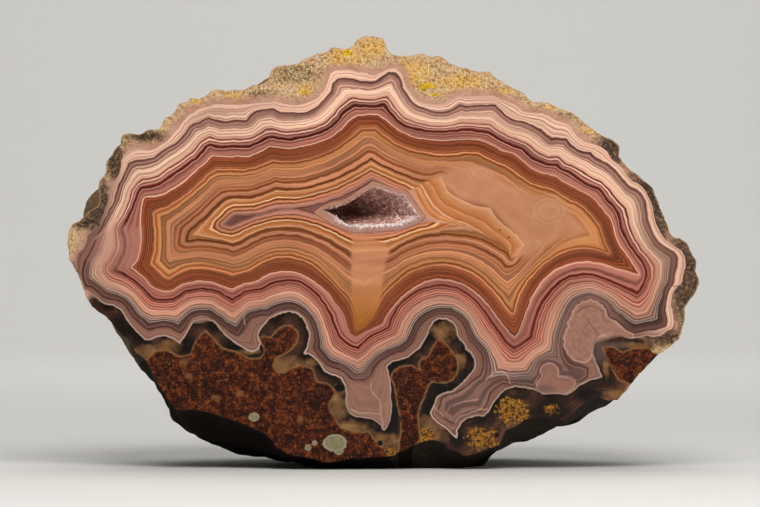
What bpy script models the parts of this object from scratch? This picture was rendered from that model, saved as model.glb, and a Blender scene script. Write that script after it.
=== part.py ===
# A sawn and polished half of a banded agate nodule, standing on a small flat spot.
# The polished face looks to -Y, +X runs along the face to its right and +Z is up.
# The origin is the middle of the flat spot. Sizes are in millimetres and are
# turned to metres as each mesh is made.
import math
import random

import bmesh
import bpy
from mathutils import Vector, noise

METRES_PER_MM = 0.001

# Driving sizes
FACE_WIDTH = 105.33        # across the polished face
STONE_DEPTH = 45.0         # from the polished face to the back of the nodule
FACE_Y = -18.0             # the plane of the polished face
SHOULDER_DEPTH = 9.0       # behind the face, where the stone is at its fullest
GAP = 0.3                  # between the agate, its host rock and the crystal crust

SIDE_ROUNDNESS = 2.3       # exponent of the curve that closes the top and sides
BASE_ROUNDNESS = 4.6       # the underside stays full further back, so that the stone stands
BROAD_LUMP = 2.6           # height of the broad swellings of the natural skin
BROAD_LUMP_SPAN = 17.0
KNOB = 3.4                 # height of the smaller knobs on it
KNOB_SPAN = 10.0
LUMP_RISE = 14.0           # the lumps reach their full height this far behind the face

VUG_DEPTH = 12.5           # the open hollow in the middle of the agate
CRUST_BACK = 1.3           # thickness of the quartz crust at the back of the hollow
MOUTH_DEPTH = 5.2          # the stretch behind the mouth where the points are short
SHORT_POINT = 0.12         # height of the quartz points by the mouth
LONG_POINT = 0.85          # and of those deeper in

BED_FRONT_Y = -9.0         # host rock that runs along the underside and the lower back
BED_BACK_Y = 32.0
CORNER_BACK_Y = 2.0
STALK_BACK_Y = 4.0
ISLAND_BACK_Y = 6.0

# Outlines are held in sketch units, read off the face from the left and the top.
# The face is this many units wide, which sets the size of one unit.
SKETCH_WIDTH = 632.0
SKETCH_MIDDLE = 400.0      # the unit that lies at x = 0
SKETCH_GROUND = 470.0      # the unit that lies at z = 0
UNIT = FACE_WIDTH / SKETCH_WIDTH

# The edge of the polished face, clockwise from the left end
FACE_EDGE = [
    (67, 242), (72, 224), (79, 221), (88, 212), (98, 206), (99, 181), (104, 176), (107, 161),
    (114, 150), (120, 144), (123, 135), (140, 134), (159, 130), (165, 118), (173, 115),
    (179, 104), (194, 98), (204, 97), (211, 91), (228, 90), (243, 91), (252, 85), (264, 84),
    (272, 69), (286, 65), (299, 63), (315, 54), (327, 52), (334, 47), (350, 48), (356, 40),
    (371, 36), (385, 41), (388, 50), (397, 56), (420, 54), (441, 56), (461, 68),
    (480, 72), (491, 74), (505, 82), (521, 92), (530, 101), (548, 103), (570, 112), (580, 119),
    (598, 133), (616, 143), (620, 151), (622, 161), (642, 179), (653, 187), (661, 209),
    (669, 231), (680, 237), (692, 254), (697, 263), (699, 279), (697, 290), (684, 308),
    (679, 339), (663, 352), (643, 370), (631, 384), (617, 400), (594, 396),
    (576, 411), (563, 423), (545, 417), (525, 419), (505, 431), (500, 444), (480, 452),
    (465, 456), (449, 449), (440, 440), (420, 442), (402, 451), (380, 457), (350, 460),
    (325, 462), (309, 458), (284, 452), (269, 437), (235, 422), (197, 410), (177, 410),
    (165, 395), (150, 370), (140, 357), (131, 341), (120, 333), (105, 316), (90, 303),
    (79, 276), (69, 258),
]

# The body of the stone behind the face, which shows as a dark underside below it
GIRTH_MIDDLE = (385, 260)
GIRTH = [
    (73, 244), (84, 215), (104, 184), (124, 150), (162, 130), (200, 107), (240, 97), (285, 72),
    (330, 57), (372, 46), (420, 63), (470, 78), (520, 102), (570, 120), (613, 150), (648, 195),
    (674, 245), (690, 275), (682, 305), (675, 338), (644, 370), (614, 401), (576, 430),
    (520, 447), (484, 463), (458, 472), (400, 477), (345, 476), (312, 467), (280, 460),
    (240, 448), (186, 437), (170, 422), (158, 398), (135, 370), (120, 345), (107, 318),
    (84, 292), (71, 262),
]

# Host rock on the face: the large corner at the lower left, which runs out of the
# stone below, then the mushroom with its stalk, then the island at the right edge
CORNER_ROCK = [
    (120, 380), (148, 359), (157, 352), (168, 350), (180, 357), (191, 355), (195, 344),
    (204, 332), (215, 341), (224, 349), (240, 354), (251, 359), (261, 357), (263, 349),
    (259, 339), (268, 338), (275, 332), (283, 327), (292, 327), (298, 337), (293, 348),
    (284, 354), (276, 358), (274, 367), (279, 373), (293, 369), (307, 367), (314, 371),
    (317, 382), (335, 390), (329, 406), (336, 421), (344, 430), (369, 433), (377, 450),
    (380, 490), (120, 490),
]
MUSHROOM_ROCK = [
    (400, 490), (400, 433), (400, 420), (397, 400), (394, 384), (391, 377), (394, 371),
    (402, 367), (413, 366), (419, 370), (419, 362), (428, 357), (434, 346), (440, 338),
    (448, 347), (455, 357), (458, 367), (455, 376), (446, 382), (434, 381), (428, 385),
    (424, 397), (419, 410), (420, 440), (416, 490),
]
ISLAND_ROCK = [
    (603, 348), (613, 347), (623, 353), (633, 348), (648, 349), (662, 350), (690, 362),
    (650, 402), (631, 386), (619, 380), (613, 371), (608, 359),
]
# The bed of the same rock under and behind the agate, seen along the face
BED_ROCK = [
    (20, 330), (120, 345), (200, 366), (300, 392), (400, 405), (500, 396), (580, 372),
    (650, 348), (740, 330), (740, 520), (20, 520),
]

# The hollow in the agate and, point for point, the mouth of the crust inside it
HOLLOW = [
    (313, 212), (322, 206), (333, 202), (345, 199), (352, 195), (360, 189), (367, 185),
    (372, 181), (380, 183), (388, 186), (396, 189), (407, 191), (413, 199), (418, 206),
    (426, 217), (418, 224), (410, 227), (400, 230), (388, 231), (374, 232), (360, 233),
    (350, 232), (342, 229), (333, 225), (322, 218),
]
MOUTH = [
    (322, 211), (327, 209), (334, 207), (345, 204), (352, 200), (360, 195), (366, 191),
    (372, 188), (380, 189), (388, 191), (396, 194), (403, 196), (408, 202), (413, 209),
    (418, 216), (413, 219), (408, 221), (400, 224), (388, 225), (374, 226), (360, 226),
    (352, 226), (346, 224), (337, 218), (328, 213),
]
HOLLOW_MIDDLE = (378, 212)
# How far behind the face each ring of the hollow lies, as a share of its depth,
# and how wide it is there
HOLLOW_RINGS = [(0.0, 1.0), (0.3, 1.02), (0.55, 0.97), (0.75, 0.82), (0.9, 0.58), (0.98, 0.3)]
CRUST_RINGS = [(0.0, 1.0), (0.14, 1.0), (0.28, 1.0), (0.42, 1.0), (0.56, 0.97), (0.7, 0.86),
               (0.82, 0.7), (0.92, 0.48), (0.98, 0.24)]


def clear_scene():
    for item in list(bpy.data.objects):
        bpy.data.objects.remove(item, do_unlink=True)


def make_collection(name):
    collection = bpy.data.collections.new(name)
    bpy.context.scene.collection.children.link(collection)
    return collection


def make_material(name, colour, roughness, metallic=0.0):
    material = bpy.data.materials.new(name)
    material.use_nodes = True
    shader = material.node_tree.nodes["Principled BSDF"]
    shader.inputs["Base Color"].default_value = (*colour, 1.0)
    shader.inputs["Roughness"].default_value = roughness
    shader.inputs["Metallic"].default_value = metallic
    return material


def on_face(unit):
    """A sketch point as x and z in millimetres."""
    return Vector(((unit[0] - SKETCH_MIDDLE) * UNIT, (SKETCH_GROUND - unit[1]) * UNIT))


def grown(outline, distance):
    """The outline with each side moved outwards; a negative distance moves them in."""
    count = len(outline)
    area = sum(outline[i - 1].cross(outline[i]) for i in range(count))
    turn = 1.0 if area > 0 else -1.0
    moved = []
    for i in range(count):
        before = (outline[i] - outline[i - 1]).normalized()
        after = (outline[(i + 1) % count] - outline[i]).normalized()
        normal_before = Vector((before.y, -before.x)) * turn
        normal_after = Vector((after.y, -after.x)) * turn
        corner = normal_before + normal_after
        reach = max(1.0 + normal_before.dot(normal_after), 0.5)
        moved.append(outline[i] + corner * (distance / reach))
    return moved


def radius_by_angle(outline, middle, angle):
    """Distance from the middle to a rounded outline in the direction of an angle."""
    steps = sorted((math.atan2(*reversed((p - middle).to_tuple())), (p - middle).length)
                   for p in outline)
    steps = [(steps[-1][0] - 2 * math.pi, steps[-1][1])] + steps
    steps.append((steps[1][0] + 2 * math.pi, steps[1][1]))
    for (a, ra), (b, rb) in zip(steps, steps[1:]):
        if a <= angle <= b:
            return ra + (rb - ra) * (angle - a) / (b - a)
    return steps[0][1]


def eased(value):
    value = min(max(value, 0.0), 1.0)
    return value * value * (3.0 - 2.0 * value)


def skin_lump(place):
    """Height of the lumps and hollows of the nodule's skin at a place."""
    broad = noise.noise(place / BROAD_LUMP_SPAN)
    knob = 0.5 - noise.voronoi(place / KNOB_SPAN)[0][0]
    return BROAD_LUMP * broad + KNOB * knob


def stone_point(edge, middle, girth_radius, angle, depth, closing):
    """One point of the stone: the face's edge flows into the girth, which then closes."""
    outward = Vector((math.cos(angle), math.sin(angle)))
    flow = eased(depth / SHOULDER_DEPTH)
    flat = edge.lerp(middle + outward * girth_radius, flow)
    underside = max(0.0, -math.sin(angle)) ** 1.5
    roundness = SIDE_ROUNDNESS + (BASE_ROUNDNESS - SIDE_ROUNDNESS) * underside
    shrink = (1.0 - closing ** roundness) ** (1.0 / roundness)
    flat = middle + (flat - middle) * shrink
    place = Vector((flat.x, FACE_Y + depth, flat.y))
    core = Vector((middle.x, FACE_Y + SHOULDER_DEPTH, middle.y))
    away = (place - core).normalized()
    return place + away * skin_lump(place) * eased(depth / LUMP_RISE)


def metres(place):
    return place * METRES_PER_MM


def ring_of(mesh, places):
    return [mesh.verts.new(metres(place)) for place in places]


def bridge(mesh, ring_a, ring_b):
    """Quads between two rings of the same number of points."""
    count = len(ring_a)
    return [mesh.faces.new((ring_a[i], ring_a[(i + 1) % count], ring_b[(i + 1) % count], ring_b[i]))
            for i in range(count)]


def narrow(mesh, ring_a, ring_b):
    """Triangles from a ring to one with half as many points."""
    count = len(ring_b)
    for i in range(count):
        start, between, end = (ring_a[(2 * i + step) % len(ring_a)] for step in (0, 1, 2))
        near, far = ring_b[i], ring_b[(i + 1) % count]
        mesh.faces.new((start, between, near))
        mesh.faces.new((between, far, near))
        mesh.faces.new((between, end, far))


def close_to_point(mesh, ring, place):
    """A fan of triangles from a ring to one point."""
    tip = mesh.verts.new(metres(place))
    count = len(ring)
    return [mesh.faces.new((ring[i], ring[(i + 1) % count], tip)) for i in range(count)]


def finish_object(mesh, name, collection, material=None):
    bmesh.ops.recalc_face_normals(mesh, faces=mesh.faces)
    data = bpy.data.meshes.new(name)
    mesh.to_mesh(data)
    mesh.free()
    item = bpy.data.objects.new(name, data)
    collection.objects.link(item)
    if material:
        data.materials.append(material)
    return item


def hide_cutter(item):
    item.hide_render = True
    item.display_type = "WIRE"


def make_stone(name, collection, material=None):
    """The whole nodule half: flat face in front, lumpy rounded skin behind it."""
    middle = on_face(GIRTH_MIDDLE)
    edge = [on_face(unit) for unit in FACE_EDGE]
    girth = [on_face(unit) for unit in GIRTH]
    angles = [math.atan2(p.y - middle.y, p.x - middle.x) for p in edge]
    radii = [radius_by_angle(girth, middle, angle) for angle in angles]
    # Each station is a depth behind the face, how far the skin has closed, and
    # which of the edge's points run through it
    stations = [(share * SHOULDER_DEPTH, 0.0, 1) for share in (0.0, 0.25, 0.5, 0.75, 1.0)]
    rest = STONE_DEPTH - SHOULDER_DEPTH
    for degrees in range(6, 90, 6):
        closing = math.sin(math.radians(degrees))
        every = 1 if degrees < 54 else 2 if degrees < 72 else 4 if degrees < 84 else 8
        stations.append((SHOULDER_DEPTH + rest * closing, closing, every))
    mesh = bmesh.new()
    rings = []
    for depth, closing, every in stations:
        columns = list(zip(edge, radii, angles))[::every]
        places = [stone_point(p, middle, radius, angle, depth, closing)
                  for p, radius, angle in columns]
        rings.append(ring_of(mesh, places))
    mesh.faces.new(rings[0])
    for ring_a, ring_b in zip(rings, rings[1:]):
        if len(ring_a) == len(ring_b):
            bridge(mesh, ring_a, ring_b)
        else:
            narrow(mesh, ring_a, ring_b)
    close_to_point(mesh, rings[-1], Vector((middle.x, FACE_Y + STONE_DEPTH, middle.y)))
    return finish_object(mesh, name, collection, material)


def make_prism(name, outline, front, back, collection):
    """A flat outline that stands in the plane of the face, drawn out from front to back."""
    drawing = bpy.data.curves.new(name, "CURVE")
    drawing.dimensions = "2D"
    drawing.fill_mode = "BOTH"
    drawing.extrude = (back - front) / 2 * METRES_PER_MM
    line = drawing.splines.new("POLY")
    line.points.add(len(outline) - 1)
    for point, flat in zip(line.points, outline):
        point.co = (flat.x * METRES_PER_MM, flat.y * METRES_PER_MM, 0.0, 1.0)
    line.use_cyclic_u = True
    drawn = bpy.data.objects.new(name + "_outline", drawing)
    collection.objects.link(drawn)
    drawn.location = (0.0, (front + back) / 2 * METRES_PER_MM, 0.0)
    drawn.rotation_euler = (math.radians(90), 0.0, 0.0)
    bpy.context.view_layer.update()
    seen = drawn.evaluated_get(bpy.context.evaluated_depsgraph_get())
    data = bpy.data.meshes.new_from_object(seen)
    mesh = bmesh.new()
    mesh.from_mesh(data)
    bmesh.ops.remove_doubles(mesh, verts=mesh.verts, dist=1e-7)
    bmesh.ops.recalc_face_normals(mesh, faces=mesh.faces)
    mesh.to_mesh(data)
    mesh.free()
    item = bpy.data.objects.new(name, data)
    item.matrix_world = drawn.matrix_world.copy()
    collection.objects.link(item)
    bpy.data.objects.remove(drawn, do_unlink=True)
    hide_cutter(item)
    return item


def boolean(item, other, operation):
    step = item.modifiers.new(operation.lower() + " " + other.name, "BOOLEAN")
    step.operation = operation
    step.solver = "EXACT"
    step.object = other


def make_rock_mass(name, growth, collection):
    """All the host rock's volume in one cutter, grown by the gap where the agate is cut."""
    front = FACE_Y - 2.0 - growth
    shapes = (
        ("corner", CORNER_ROCK, front, CORNER_BACK_Y + growth),
        ("mushroom", MUSHROOM_ROCK, front - 0.1, STALK_BACK_Y + growth),
        ("island", ISLAND_ROCK, front - 0.2, ISLAND_BACK_Y + growth),
        ("bed", BED_ROCK, BED_FRONT_Y - growth, BED_BACK_Y + growth),
    )
    pieces = []
    for label, units, start, end in shapes:
        outline = grown([on_face(unit) for unit in units], growth)
        pieces.append(make_prism(name + "_" + label, outline, start, end, collection))
    mass = pieces[0]
    for other in pieces[1:]:
        boolean(mass, other, "UNION")
    return mass


def make_floor_cutter(collection):
    """A block whose top is the plane that the stone stands on."""
    size = 200.0
    bpy.ops.mesh.primitive_cube_add(size=size * METRES_PER_MM)
    block = bpy.context.active_object
    block.name = "flat_spot_cutter"
    block.location = (0.0, 0.0, -size / 2 * METRES_PER_MM)
    for owner in list(block.users_collection):
        owner.objects.unlink(block)
    collection.objects.link(block)
    hide_cutter(block)
    return block


def hollow_rings(outline, rings, depth, start=0.0):
    """Rings of a pouch that runs back from the face and narrows."""
    middle = on_face(HOLLOW_MIDDLE)
    result = []
    for share, width in rings:
        y = FACE_Y + depth * share
        if share == 0.0:
            y -= start
        ring = []
        for flat in outline:
            spread = middle + (flat - middle) * width
            ring.append(Vector((spread.x, y, spread.y)))
        result.append(ring)
    return result


def make_hollow_cutter(collection):
    """The vug as it is cut from the agate, open at the polished face."""
    outline = [on_face(unit) for unit in HOLLOW]
    middle = on_face(HOLLOW_MIDDLE)
    mesh = bmesh.new()
    rings = [ring_of(mesh, ring) for ring in hollow_rings(outline, HOLLOW_RINGS, VUG_DEPTH, 2.0)]
    mesh.faces.new(rings[0])
    for ring_a, ring_b in zip(rings, rings[1:]):
        bridge(mesh, ring_a, ring_b)
    close_to_point(mesh, rings[-1], Vector((middle.x, FACE_Y + VUG_DEPTH, middle.y)))
    item = finish_object(mesh, "vug_cutter", collection)
    hide_cutter(item)
    return item


def make_quartz_crust(collection, material):
    """Druse that lines the vug: one closed shell, with flat-faced points grown inwards."""
    outer = grown([on_face(unit) for unit in HOLLOW], -GAP)
    inner = [on_face(unit) for unit in MOUTH]
    middle = on_face(HOLLOW_MIDDLE)
    outer_depth = VUG_DEPTH - GAP
    inner_depth = outer_depth - CRUST_BACK
    mesh = bmesh.new()
    back_rings = [ring_of(mesh, ring) for ring in hollow_rings(outer, HOLLOW_RINGS, outer_depth)]
    room_rings = [ring_of(mesh, ring) for ring in hollow_rings(inner, CRUST_RINGS, inner_depth)]
    bridge(mesh, back_rings[0], room_rings[0])
    for ring_a, ring_b in zip(back_rings, back_rings[1:]):
        bridge(mesh, ring_a, ring_b)
    close_to_point(mesh, back_rings[-1], Vector((middle.x, FACE_Y + outer_depth, middle.y)))
    wall = []
    for ring_a, ring_b in zip(room_rings, room_rings[1:]):
        wall += bridge(mesh, ring_a, ring_b)
    close_to_point(mesh, room_rings[-1], Vector((middle.x, FACE_Y + inner_depth, middle.y)))
    bmesh.ops.recalc_face_normals(mesh, faces=mesh.faces)
    chance = random.Random(11)
    for face in wall:
        behind = face.calc_center_median().y / METRES_PER_MM - FACE_Y
        height = SHORT_POINT if behind < MOUTH_DEPTH else LONG_POINT * chance.uniform(0.5, 1.0)
        bmesh.ops.poke(mesh, faces=[face], offset=height * METRES_PER_MM)
    return finish_object(mesh, "quartz_crust", collection, material)


def build():
    clear_scene()
    parts = make_collection("agate nodule half")
    cutters = make_collection("cutters")
    chalcedony = make_material("banded chalcedony", (0.56, 0.27, 0.19), 0.16)
    lava = make_material("weathered lava", (0.16, 0.045, 0.02), 0.75)
    druse = make_material("quartz druse", (0.72, 0.6, 0.6), 0.12)

    floor = make_floor_cutter(cutters)
    rock_mass = make_rock_mass("rock_mass", 0.0, cutters)
    rock_seat = make_rock_mass("rock_seat", GAP, cutters)
    hollow = make_hollow_cutter(cutters)

    agate = make_stone("agate", parts, chalcedony)
    boolean(agate, floor, "DIFFERENCE")
    boolean(agate, rock_seat, "DIFFERENCE")
    boolean(agate, hollow, "DIFFERENCE")

    host_rock = make_stone("host_rock", parts, lava)
    boolean(host_rock, floor, "DIFFERENCE")
    boolean(host_rock, rock_mass, "INTERSECT")

    make_quartz_crust(parts, druse)


build()
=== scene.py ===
import math
import random

import bmesh
import bpy
import numpy as np
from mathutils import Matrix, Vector, kdtree, noise
from mathutils.geometry import delaunay_2d_cdt


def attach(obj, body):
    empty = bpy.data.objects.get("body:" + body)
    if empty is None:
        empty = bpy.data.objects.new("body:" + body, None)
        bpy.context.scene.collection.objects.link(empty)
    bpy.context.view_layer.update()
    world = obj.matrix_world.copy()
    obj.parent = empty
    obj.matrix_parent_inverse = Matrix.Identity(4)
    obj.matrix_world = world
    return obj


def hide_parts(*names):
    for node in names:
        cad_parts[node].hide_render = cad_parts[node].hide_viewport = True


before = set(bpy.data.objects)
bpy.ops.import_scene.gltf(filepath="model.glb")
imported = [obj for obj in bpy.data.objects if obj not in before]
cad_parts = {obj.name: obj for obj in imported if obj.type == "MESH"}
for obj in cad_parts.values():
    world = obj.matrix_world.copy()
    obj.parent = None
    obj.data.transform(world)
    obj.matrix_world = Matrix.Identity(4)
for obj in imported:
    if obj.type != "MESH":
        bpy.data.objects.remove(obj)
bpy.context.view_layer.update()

metresPerMm = 0.001
noise.seed_set(11)              # so that the wandering lines are the same in each run
print("frame loaded:", len(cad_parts), "nodes")

# The stone's own sizes, as the CAD has them
stone = {
    "faceWidth": 105.33,        # mm across the polished face
    "sketchWidth": 632.0,       # the same in sketch units
    "sketchMiddle": 400.0,      # the unit at x = 0
    "sketchGround": 470.0,      # the unit at z = 0
    "depth": 45.0,
    "faceY": -18.0,
    "shoulder": 9.0,            # where it is at its fullest, behind the face
    "sideRoundness": 2.3,
    "baseRoundness": 4.6,
    "baseFocus": 1.5,           # power that keeps the rounder base to the underside
    "broadLump": 2.6,
    "broadLumpSpan": 17.0,
    "knob": 3.4,
    "knobSpan": 10.0,
    "lumpRise": 14.0,
    "grit": 0.32,               # the finer roughness that only the looks carry
    "gritSpan": 2.6,
    "columns": 512,
    "edgeRoughness": 0.18,      # mm that the chipped edge of the face wanders, at most
    "edgeSpan": 0.8,            # mm along a chip of that edge
    "frontRings": 12,           # from the face to the shoulder
    "backStep": 3,              # degrees from ring to ring where the back closes
    "thinning": [(0, 1), (48, 2), (66, 4), (78, 8)],    # from so many degrees, one point kept of so many
    "hollowDepth": 12.5,
    "hollowColumns": 96,
    "cutMargin": 2.0,           # mm that a cutter stands before the face
    "faceSpacing": 0.262,       # mm between the points of the polished face
    "rockSpacing": 0.4,
}
unit = stone["faceWidth"] / stone["sketchWidth"]

# The edge of the polished face, clockwise from the left end
faceEdge = [
    (67, 242), (69, 232), (72, 224), (79, 222), (83, 217), (88, 212), (98, 206), (100, 197), (99, 188),
    (99, 181), (104, 176), (106, 170), (106, 163), (108, 158), (112, 155), (114, 150), (120, 144),
    (121, 139), (123, 135), (128, 134), (140, 134), (149, 130), (159, 130), (162, 124), (165, 118),
    (173, 115), (176, 109), (179, 104), (183, 102), (188, 101), (190, 98), (200, 99), (208, 94),
    (211, 91), (215, 90), (228, 91), (239, 90), (243, 91), (247, 88), (252, 85), (259, 85), (264, 84),
    (268, 80), (270, 75), (272, 69), (275, 67), (286, 65), (299, 63), (304, 60), (310, 57), (315, 54),
    (327, 52), (331, 48), (336, 47), (341, 49), (350, 48), (354, 45), (356, 40), (359, 38), (371, 36),
    (378, 37), (383, 39), (385, 42), (388, 50), (392, 54), (397, 56), (412, 55), (424, 54), (433, 57),
    (438, 55), (446, 60), (452, 64), (461, 68), (464, 67), (475, 71), (484, 72), (488, 71), (491, 73),
    (496, 78), (507, 84), (511, 87), (521, 92), (526, 96), (530, 101), (535, 102), (548, 103),
    (559, 108), (570, 112), (575, 115), (580, 119), (590, 127), (603, 136), (611, 139), (616, 143),
    (620, 147), (619, 156), (622, 161), (632, 171), (642, 179), (653, 187), (656, 197), (661, 209),
    (663, 216), (668, 226), (669, 231), (676, 239), (679, 237), (687, 243), (692, 254), (695, 258),
    (697, 263), (695, 270), (699, 279), (697, 290), (690, 300), (684, 308), (685, 319), (682, 330),
    (679, 339), (672, 345), (663, 352), (657, 355), (650, 363), (643, 370), (631, 384), (624, 393),
    (617, 400), (606, 400), (594, 396), (585, 402), (576, 411), (563, 421), (545, 417), (525, 419),
    (516, 426), (505, 431), (500, 444), (480, 452), (465, 456), (456, 451), (449, 449), (440, 441),
    (430, 440), (420, 443), (402, 451), (391, 456), (380, 457), (371, 458), (350, 459), (325, 462),
    (309, 458), (284, 452), (276, 446), (269, 437), (252, 428), (235, 421), (216, 415), (197, 410),
    (177, 410), (170, 402), (165, 395), (158, 383), (150, 370), (144, 358), (135, 352), (131, 341),
    (120, 333), (112, 323), (105, 316), (94, 308), (87, 298), (84, 290), (79, 276), (72, 264),
    (69, 258), (69, 252),
]
# The agate's outer skin on the face, where the bands begin
laceOuter = [
    (100, 227), (101, 221), (104, 213), (107, 205), (109, 197), (110, 190), (112, 183), (116, 179),
    (119, 174), (121, 167), (122, 161), (125, 155), (130, 150), (136, 148), (150, 149), (157, 147),
    (163, 143), (168, 139), (173, 133), (178, 127), (183, 121), (188, 115), (194, 111), (201, 108),
    (208, 106), (215, 104), (230, 104), (248, 104), (255, 103), (268, 102), (276, 101), (282, 103),
    (291, 105), (306, 103), (314, 100), (320, 95), (325, 89), (328, 80), (330, 73), (336, 70),
    (352, 70), (358, 72), (364, 72), (370, 75), (376, 75), (382, 72), (388, 69), (396, 68), (402, 75),
    (405, 84), (409, 91), (414, 97), (419, 101), (426, 103), (438, 104), (446, 103), (452, 99),
    (458, 96), (475, 96), (494, 96), (500, 99), (508, 102), (515, 105), (522, 111), (532, 113),
    (542, 113), (550, 117), (557, 121), (565, 123), (571, 127), (576, 135), (584, 142), (592, 144),
    (600, 146), (607, 151), (611, 158), (617, 163), (623, 169), (627, 176), (633, 181), (639, 184),
    (645, 190), (649, 198), (653, 208), (655, 219), (658, 228), (663, 237), (669, 243), (676, 247),
    (682, 251), (685, 258), (686, 267), (683, 276), (682, 283), (676, 288), (672, 294), (671, 301),
    (672, 311), (674, 322), (672, 329), (665, 332), (660, 336), (653, 337), (646, 335), (639, 337),
    (630, 338), (620, 335), (610, 334), (602, 333), (597, 338), (594, 345), (593, 352), (596, 362),
    (600, 371), (603, 377), (596, 379), (589, 381), (581, 385), (574, 391), (567, 395), (556, 394),
    (543, 394), (535, 390), (527, 388), (514, 387), (506, 389), (499, 396), (493, 404), (488, 413),
    (484, 416), (477, 416), (468, 418), (461, 423), (457, 430), (458, 440), (452, 435), (446, 429),
    (439, 424), (432, 418), (430, 413), (433, 406), (437, 397), (444, 393), (451, 391), (458, 387),
    (463, 382), (468, 376), (473, 371), (475, 365), (474, 359), (471, 354), (467, 350), (464, 344),
    (459, 339), (457, 333), (455, 327), (451, 322), (446, 319), (439, 319), (434, 322), (431, 327),
    (428, 334), (424, 341), (420, 348), (413, 353), (407, 358), (399, 360), (392, 362), (387, 366),
    (389, 374), (391, 383), (391, 395), (392, 408), (391, 418), (388, 426), (384, 432), (380, 425),
    (373, 420), (364, 418), (355, 417), (349, 413), (346, 405), (346, 394), (344, 384), (341, 378),
    (336, 376), (330, 374), (325, 371), (320, 364), (315, 358), (309, 354), (303, 354), (306, 349),
    (308, 343), (309, 335), (307, 326), (303, 319), (298, 314), (292, 312), (284, 312), (277, 315),
    (270, 319), (264, 325), (259, 331), (258, 337), (261, 343), (259, 349), (254, 352), (247, 350),
    (240, 346), (233, 341), (226, 336), (220, 329), (215, 323), (209, 320), (200, 320), (194, 322),
    (190, 327), (187, 333), (183, 339), (180, 344), (176, 341), (171, 338), (165, 336), (158, 337),
    (151, 340), (145, 340), (140, 335), (134, 329), (128, 322), (124, 315), (120, 310), (114, 306),
    (107, 305), (101, 302), (96, 297), (90, 292), (84, 289), (81, 281), (78, 272), (76, 262), (77, 255),
    (82, 250), (86, 243), (88, 235), (94, 230),
]
# The dark line under the pale outer band
laceInner = [
    (101, 229), (105, 220), (110, 210), (114, 203), (117, 193), (119, 185), (123, 177), (126, 170),
    (129, 164), (136, 161), (145, 160), (154, 158), (159, 154), (166, 149), (172, 146), (180, 140),
    (186, 133), (190, 127), (194, 124), (200, 123), (206, 119), (209, 118), (214, 120), (222, 122),
    (235, 121), (247, 121), (251, 116), (255, 112), (265, 110), (273, 109), (280, 113), (290, 113),
    (308, 112), (316, 108), (321, 103), (326, 98), (331, 92), (333, 84), (338, 79), (348, 79),
    (358, 81), (372, 82), (378, 80), (383, 76), (389, 72), (396, 73), (401, 80), (403, 88), (407, 95),
    (412, 102), (417, 106), (425, 109), (435, 112), (446, 112), (452, 110), (460, 105), (466, 107),
    (475, 106), (495, 105), (500, 110), (506, 116), (513, 120), (526, 123), (534, 127), (540, 130),
    (545, 134), (551, 139), (566, 139), (571, 145), (576, 149), (582, 152), (590, 153), (594, 157),
    (601, 161), (607, 164), (613, 169), (619, 175), (625, 182), (630, 187), (637, 190), (643, 197),
    (646, 207), (648, 222), (651, 230), (655, 238), (661, 245), (668, 249), (674, 252), (677, 258),
    (676, 266), (674, 276), (673, 284), (669, 290), (667, 298), (665, 311), (667, 320), (666, 326),
    (656, 329), (648, 330), (640, 332), (633, 333), (627, 330), (621, 324), (615, 319), (609, 317),
    (607, 310), (603, 304), (597, 301), (590, 299), (583, 301), (578, 303), (574, 309), (570, 318),
    (567, 327), (564, 335), (563, 344), (564, 354), (568, 362), (575, 366), (583, 367), (587, 369),
    (587, 377), (580, 381), (576, 382), (572, 378), (565, 377), (558, 377), (557, 368), (553, 364),
    (548, 363), (543, 365), (541, 371), (540, 376), (537, 380), (535, 387), (529, 385), (520, 384),
    (510, 384), (503, 383), (496, 387), (491, 392), (488, 399), (485, 406), (482, 411), (474, 411),
    (466, 413), (460, 417), (455, 423), (450, 422), (444, 417), (438, 412), (440, 404), (442, 398),
    (451, 394), (460, 391), (467, 386), (474, 380), (480, 376), (483, 370), (484, 362), (482, 354),
    (477, 347), (470, 340), (467, 332), (464, 325), (458, 318), (450, 314), (440, 314), (430, 317),
    (423, 322), (418, 329), (415, 337), (411, 344), (403, 350), (394, 353), (386, 357), (378, 362),
    (373, 368), (370, 375), (364, 379), (357, 380), (351, 378), (346, 373), (340, 369), (333, 367),
    (327, 365), (322, 359), (317, 353), (314, 349), (315, 340), (314, 331), (311, 323), (305, 315),
    (298, 310), (290, 308), (282, 309), (275, 311), (269, 315), (261, 315), (252, 317), (247, 321),
    (243, 329), (238, 336), (231, 332), (223, 326), (216, 320), (208, 315), (200, 315), (193, 317),
    (187, 323), (184, 329), (181, 333), (175, 330), (168, 327), (159, 327), (152, 329), (148, 330),
    (141, 324), (134, 318), (129, 311), (125, 305), (119, 301), (111, 299), (104, 297), (98, 292),
    (92, 287), (86, 286), (83, 278), (83, 270), (86, 260), (91, 251), (95, 242),
]
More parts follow.
